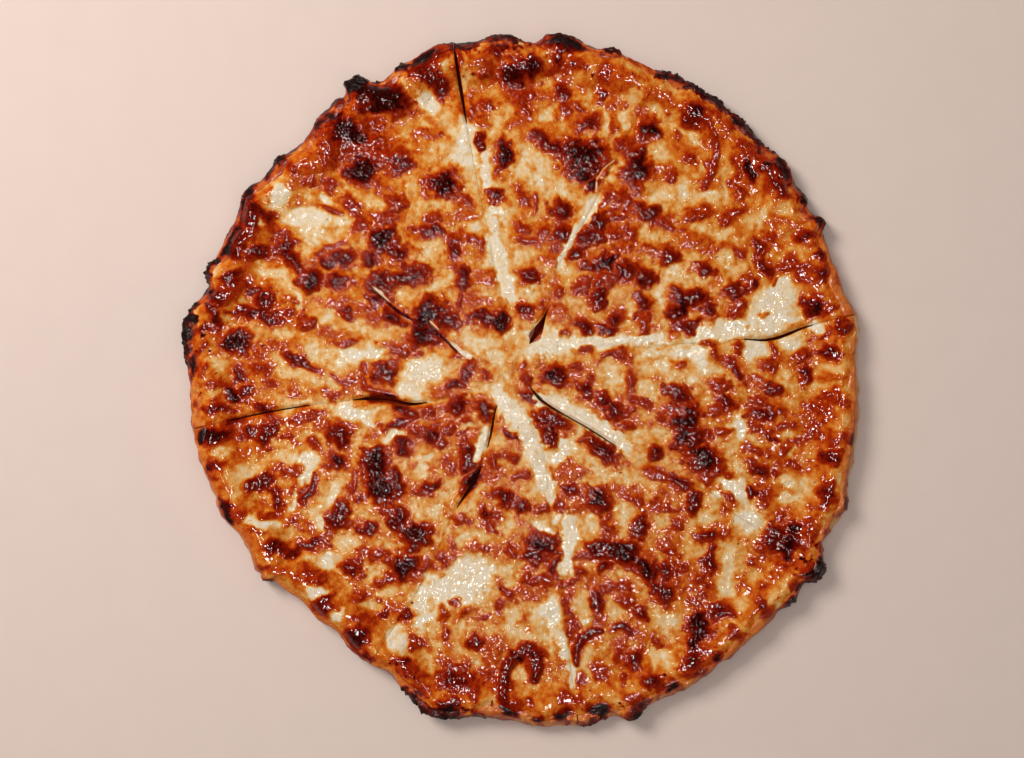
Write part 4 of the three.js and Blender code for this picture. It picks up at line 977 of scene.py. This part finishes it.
def mottle_group():
    """Fine unevenness that crust, sauce and cheese all share: a mask and a height for the bump."""
    group = bpy.data.node_groups.new("oven_mottle", "ShaderNodeTree")
    for name, value in (("Size", 900.0), ("Detail", 4.0), ("Contrast", 1.0)):
        socket = group.interface.new_socket(name, in_out="INPUT", socket_type="NodeSocketFloat")
        socket.default_value = value
    group.interface.new_socket("Mask", in_out="OUTPUT", socket_type="NodeSocketFloat")
    group.interface.new_socket("Height", in_out="OUTPUT", socket_type="NodeSocketFloat")
    start = group.nodes.new("NodeGroupInput")
    end = group.nodes.new("NodeGroupOutput")
    place = put(group, "ShaderNodeTexCoord", {}, {}).outputs["Object"]
    grain = put(group, "ShaderNodeTexNoise", {}, {
        "Vector": place, "Scale": start.outputs["Size"], "Detail": start.outputs["Detail"]})
    finer = maths(group, "MULTIPLY", start.outputs["Size"], 3.1)
    pores = put(group, "ShaderNodeTexVoronoi", {}, {"Vector": place, "Scale": finer})
    centred = maths(group, "SUBTRACT", grain.outputs["Fac"], 0.5)
    strong = maths(group, "MULTIPLY", centred, start.outputs["Contrast"])
    mask = put(group, "ShaderNodeMath", {"operation": "ADD", "use_clamp": True}, {0: strong, 1: 0.5})
    height = maths(group, "MULTIPLY_ADD", pores.outputs["Distance"], 0.4, grain.outputs["Fac"])
    group.links.new(mask.outputs[0], end.inputs["Mask"])
    group.links.new(height, end.inputs["Height"])
    return group


def mottle(tree, size, detail, contrast):
    """Places the shared unevenness in a material with its own values."""
    values = {"Size": size, "Detail": detail, "Contrast": contrast}
    return put(tree, "ShaderNodeGroup", {"node_tree": oven_mottle}, values)


def ramp(tree, factor, stops):
    """A colour ramp through screen colours."""
    node = put(tree, "ShaderNodeValToRGB", {}, {"Fac": factor})
    elements = node.color_ramp.elements
    while len(elements) < len(stops):
        elements.new(0.5)
    for element, (position, colour) in zip(elements, stops):
        element.position = position
        element.color = paint(*colour)
    return node


def remap(tree, value, low, high, new_low, new_high):
    """A value carried from one range to another."""
    return put(tree, "ShaderNodeMapRange", {}, {
        "Value": value, "From Min": low, "From Max": high, "To Min": new_low, "To Max": new_high,
    }).outputs["Result"]


def shifted(tree, value, mask, amount):
    """A value moved up and down by a mask about 0.5."""
    return maths(tree, "MULTIPLY_ADD", maths(tree, "SUBTRACT", mask, 0.5), amount, value)


def stored(tree, name):
    """A value that the mesh stores."""
    return put(tree, "ShaderNodeAttribute", {"attribute_name": name}, {}).outputs["Fac"]


def bumped(tree, shader, height, depth):
    """Fine relief that the mesh is too coarse to hold, with its depth in metres."""
    bump = put(tree, "ShaderNodeBump", {}, {"Height": height, "Distance": depth, "Strength": 1.0})
    feed(tree, shader, Normal=bump.outputs["Normal"])


oven_mottle = mottle_group()

CRUST_COLOURS = [
    (0.0, (230, 184, 142)), (0.18, (222, 154, 92)), (0.34, (210, 120, 48)), (0.48, (188, 80, 22)),
    (0.62, (146, 42, 12)), (0.76, (100, 22, 7)), (0.88, (60, 15, 7)), (1.0, (34, 11, 8)),
]
crust_finish, crust_tree, crust_shader = new_material(
    "baked_dough", IOR=1.45, Specular_IOR_Level=0.2, Coat_Roughness=0.16)
crust_grain = mottle(crust_tree, 500.0, 5.0, 1.0)
crust_specks = mottle(crust_tree, 1800.0, 2.0, 1.6)
crust_tone = maths(crust_tree, "MULTIPLY_ADD", stored(crust_tree, "char"), 0.5, stored(crust_tree, "bake"))
crust_tone = shifted(crust_tree, crust_tone, crust_grain.outputs["Mask"], 0.13)
crust_tone = shifted(crust_tree, crust_tone, crust_specks.outputs["Mask"], 0.08)
feed(crust_tree, crust_shader,
     Base_Color=ramp(crust_tree, crust_tone, CRUST_COLOURS).outputs["Color"],
     Roughness=remap(crust_tree, crust_tone, 0.2, 0.9, 0.6, 0.45),
     Coat_Weight=remap(crust_tree, crust_tone, 0.5, 0.9, 0.3, 0.15))
bumped(crust_tree, crust_shader, crust_grain.outputs["Height"], 0.0006)

for number in range(SLICES):
    crust = bpy.data.objects.new(f"crust_slice_{number + 1}", crust_slice(number))
    bpy.context.collection.objects.link(crust)
    crust.data.materials.append(crust_finish)
    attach(crust, "root")
    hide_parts(f"crust_{number + 1}")


# ---- Tomato sauce -----------------------------------------------------------------------------
# A thin spread of cooked tomato on the flat part of each slice. It shows as a dark red line where
# a cut gapes. It is held back a little from the cuts.

SAUCE_BOTTOM = 6.3
SAUCE_TOP = 7.2
SAUCE_INSET = 0.2
SAUCE_TIP_INSET = 1.2
SAUCE_ROWS = 60
SAUCE_COLUMNS = 44
SAUCE_LEVELS = 3
SAUCE_UNEVEN = 0.3             # how far its top rises and falls
SAUCE_COLOURS = [(0.1, (168, 44, 18)), (0.5, (122, 22, 10)), (0.9, (62, 10, 8))]


def sauce_slice(number):
    """Shape of one slice's sauce, and how far it has cooked down."""
    mesh, out, across, level = slab(
        f"sauce_slice_{number + 1}", SAUCE_ROWS, SAUCE_COLUMNS, SAUCE_LEVELS, 1)
    tip = tip_distance(number, TIP_WIDTH + CUT_WIDTH) + SAUCE_TIP_INSET
    end = distance_at_depth(number, across, lambda angle: bare_depth(angle) + RIM_SLOPE + 0.6)
    x, y = point_in(number, across, tip + (end - tip) * out, -SAUCE_INSET)
    uneven = 0.16 * ripple(x, y, 0 * x, 5, 21) + 0.08 * ripple(x, y, 0 * x, 2.4, 22)
    thick = SAUCE_TOP - SAUCE_BOTTOM - SAUCE_UNEVEN + np.clip(uneven, -SAUCE_UNEVEN, SAUCE_UNEVEN)
    z = SAUCE_BOTTOM + thick * level
    set_shape(mesh, x, y, z)
    set_values(mesh, reduced=np.clip(0.5 + 0.2 * ripple(x, y, 0 * x, 9, 23), 0, 1))
    return mesh


sauce_finish, sauce_tree, sauce_shader = new_material("cooked_tomato", Roughness=0.3)
sauce_pulp = mottle(sauce_tree, 1100.0, 4.0, 1.4)
sauce_tone = shifted(sauce_tree, stored(sauce_tree, "reduced"), sauce_pulp.outputs["Mask"], 0.8)
feed(sauce_tree, sauce_shader, Base_Color=ramp(sauce_tree, sauce_tone, SAUCE_COLOURS).outputs["Color"])
bumped(sauce_tree, sauce_shader, sauce_pulp.outputs["Height"], 0.0005)

for number in range(SLICES):
    sauce = bpy.data.objects.new(f"sauce_slice_{number + 1}", sauce_slice(number))
    bpy.context.collection.objects.link(sauce)
    sauce.data.materials.append(sauce_finish)
    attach(sauce, "root")
    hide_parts(f"sauce_{number + 1}")


# ---- Cheese -----------------------------------------------------------------------------------
# Melted and browned mozzarella over the sauce. It is pale where it flowed together, golden and
# oily between, and it stands up in dark red-brown blisters. A wheel cut it before it set.

CHEESE_THICKNESS = 2.1
CHEESE_EDGE = 0.8
CHEESE_ROWS = 33
CHEESE_COLUMNS = 24
CHEESE_LEVELS = 3
CHEESE_FINER = 10              # how much finer its top is than its underside
CHEESE_TIP_WIDTH = 0.05
CLOSED_CHEESE_GAP = 0.02       # half width of what the cheese leaves of a closed cut
OVERHANG = 0.35                # how far it flows over the edge of an open cut
RIM_BEGINS = 60                # nearer to where the cuts meet, the cheese doesn't thin to an edge
HERB_COLOUR = (104, 70, 34)
HERB_SPACING = 260.0           # flecks of herb to the metre


def cheese_edge(angle):
    """How far in from the outline the cheese ends."""
    wander = 1.1 * np.cos(np.radians(angle * 23)) + 0.8 * np.cos(np.radians(angle * 57 + 40))
    return np.maximum(bare_depth(angle) - 2.6 + 1.3 * wander, edge_depth(angle) + 0.6)


def cheese_slice(number):
    """Shape and browning of one slice's cheese."""
    mesh, out, across, level = slab(
        f"cheese_slice_{number + 1}", CHEESE_ROWS, CHEESE_COLUMNS, CHEESE_LEVELS, CHEESE_FINER)
    tip = tip_distance(number, CHEESE_TIP_WIDTH)
    end = distance_at_depth(number, across, cheese_edge)
    distance = tip + (end - tip) * out
    side_a, side_b = half_cut(number, distance), half_cut(number + 1, distance)
    close_a, close_b = [np.where(side < NARROW_CUT, side - CLOSED_CHEESE_GAP, OVERHANG)
                        for side in (side_a, side_b)]
    x, y = point_in(number, across, distance, close_a * (1 - across) + close_b * across)
    angle, depth, _reach = polar(x, y)
    inward = np.where(distance > RIM_BEGINS, end - distance, 99)
    full = ease(inward, -1, 15)
    bottom = dough_top(angle, depth) - 0.35 + 0.7 * ease(inward, 0, 5) + 0.95 * full
    char = rim_char(angle, depth, x, y)
    relief = read_map(rise, x, y) * (0.35 + 0.65 * full)
    relief += 0.6 * ease(char, 0.3, 0.9) * (0.6 + np.maximum(ripple(x, y, 0 * x, 2.6, 13), -1))
    thick = CHEESE_EDGE + (CHEESE_THICKNESS - CHEESE_EDGE) * full
    spread = np.radians(cut_angle(number + 1, distance) - cut_angle(number, distance)) * distance
    from_cut = np.minimum(across, 1 - across) * spread
    closed = np.where(across < 0.5, side_a, side_b) < NARROW_CUT
    rounded = np.where(closed, 0.15, 0.5) * thick * np.exp(-(from_cut / 0.9) ** 2) * ease(distance, 10, 30)
    lip = (thick - 0.15) * (1 - ease(inward, 0.2, 5.0))
    height = np.maximum(thick - rounded - lip, 0.12) + relief * ease(inward, 0, 4)
    z = held_down(bottom + height * level)
    set_shape(mesh, x, y, z)
    tone = read_map(toast, x, y)
    set_values(mesh, toast=np.clip(tone + (1 - tone) * ease(char, 0.05, 1.05), 0, 1))
    return mesh


CHEESE_COLOURS = [
    (0.0, (234, 219, 198)), (0.10, (230, 202, 160)), (0.19, (227, 177, 114)), (0.29, (223, 149, 70)),
    (0.39, (216, 115, 32)), (0.49, (202, 80, 16)), (0.59, (174, 47, 8)), (0.74, (130, 25, 5)),
    (0.87, (78, 12, 3)), (1.0, (32, 8, 5)),
]
cheese_finish, cheese_tree, cheese_shader = new_material(
    "browned_mozzarella", IOR=1.46, Specular_IOR_Level=0.08, Coat_Roughness=0.07)
cheese_toast = stored(cheese_tree, "toast")
cheese_grain = mottle(cheese_tree, 500.0, 4.0, 1.0)
cheese_fine = mottle(cheese_tree, 1100.0, 3.0, 1.5)
cheese_curd = mottle(cheese_tree, 240.0, 3.0, 2.2)
curd_amount = remap(cheese_tree, cheese_toast, 0.05, 0.2, 0.10, 0.02)
fine_amount = remap(cheese_tree, cheese_toast, 0.2, 0.7, 0.07, 0.19)
cheese_tone = shifted(cheese_tree, cheese_toast, cheese_curd.outputs["Mask"], curd_amount)
cheese_tone = shifted(cheese_tree, cheese_tone, cheese_grain.outputs["Mask"], 0.05)
cheese_tone = shifted(cheese_tree, cheese_tone, cheese_fine.outputs["Mask"], fine_amount)
cheese_herbs = put(cheese_tree, "ShaderNodeTexVoronoi", {}, {
    "Vector": put(cheese_tree, "ShaderNodeTexCoord", {}, {}).outputs["Object"], "Scale": HERB_SPACING})
cheese_fleck = maths(cheese_tree, "MULTIPLY",
                     remap(cheese_tree, cheese_herbs.outputs["Distance"], 0.06, 0.13, 0.6, 0.0),
                     remap(cheese_tree, cheese_herbs.outputs["Color"], 0.60, 0.64, 0.0, 1.0))
cheese_shown = put(cheese_tree, "ShaderNodeMix", {"data_type": "RGBA"}, {
    "Factor": cheese_fleck, "A": ramp(cheese_tree, cheese_tone, CHEESE_COLOURS).outputs["Color"],
    "B": paint(*HERB_COLOUR)})
cheese_oily = maths(cheese_tree, "MULTIPLY",
                    remap(cheese_tree, cheese_toast, 0.3, 0.62, 0.1, 0.75),
                    remap(cheese_tree, cheese_toast, 0.78, 0.96, 1.0, 0.25))
cheese_wet = remap(cheese_tree, cheese_toast, 0.04, 0.16, 0.4, 0.0)
feed(cheese_tree, cheese_shader,
     Base_Color=cheese_shown.outputs["Result"],
     Roughness=remap(cheese_tree, cheese_tone, 0.1, 0.7, 0.42, 0.2),
     Coat_Weight=maths(cheese_tree, "ADD", cheese_oily, cheese_wet))
cheese_crisp = remap(cheese_tree, cheese_toast, 0.2, 0.6, 0.45, 1.0)
cheese_relief = maths(cheese_tree, "MULTIPLY", cheese_fine.outputs["Height"], cheese_crisp)
bumped(cheese_tree, cheese_shader, cheese_relief, 0.0008)

for number in range(SLICES):
    cheese = bpy.data.objects.new(f"cheese_slice_{number + 1}", cheese_slice(number))
    bpy.context.collection.objects.link(cheese)
    cheese.data.materials.append(cheese_finish)
    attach(cheese, "root")
    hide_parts(f"cheese_{number + 1}")
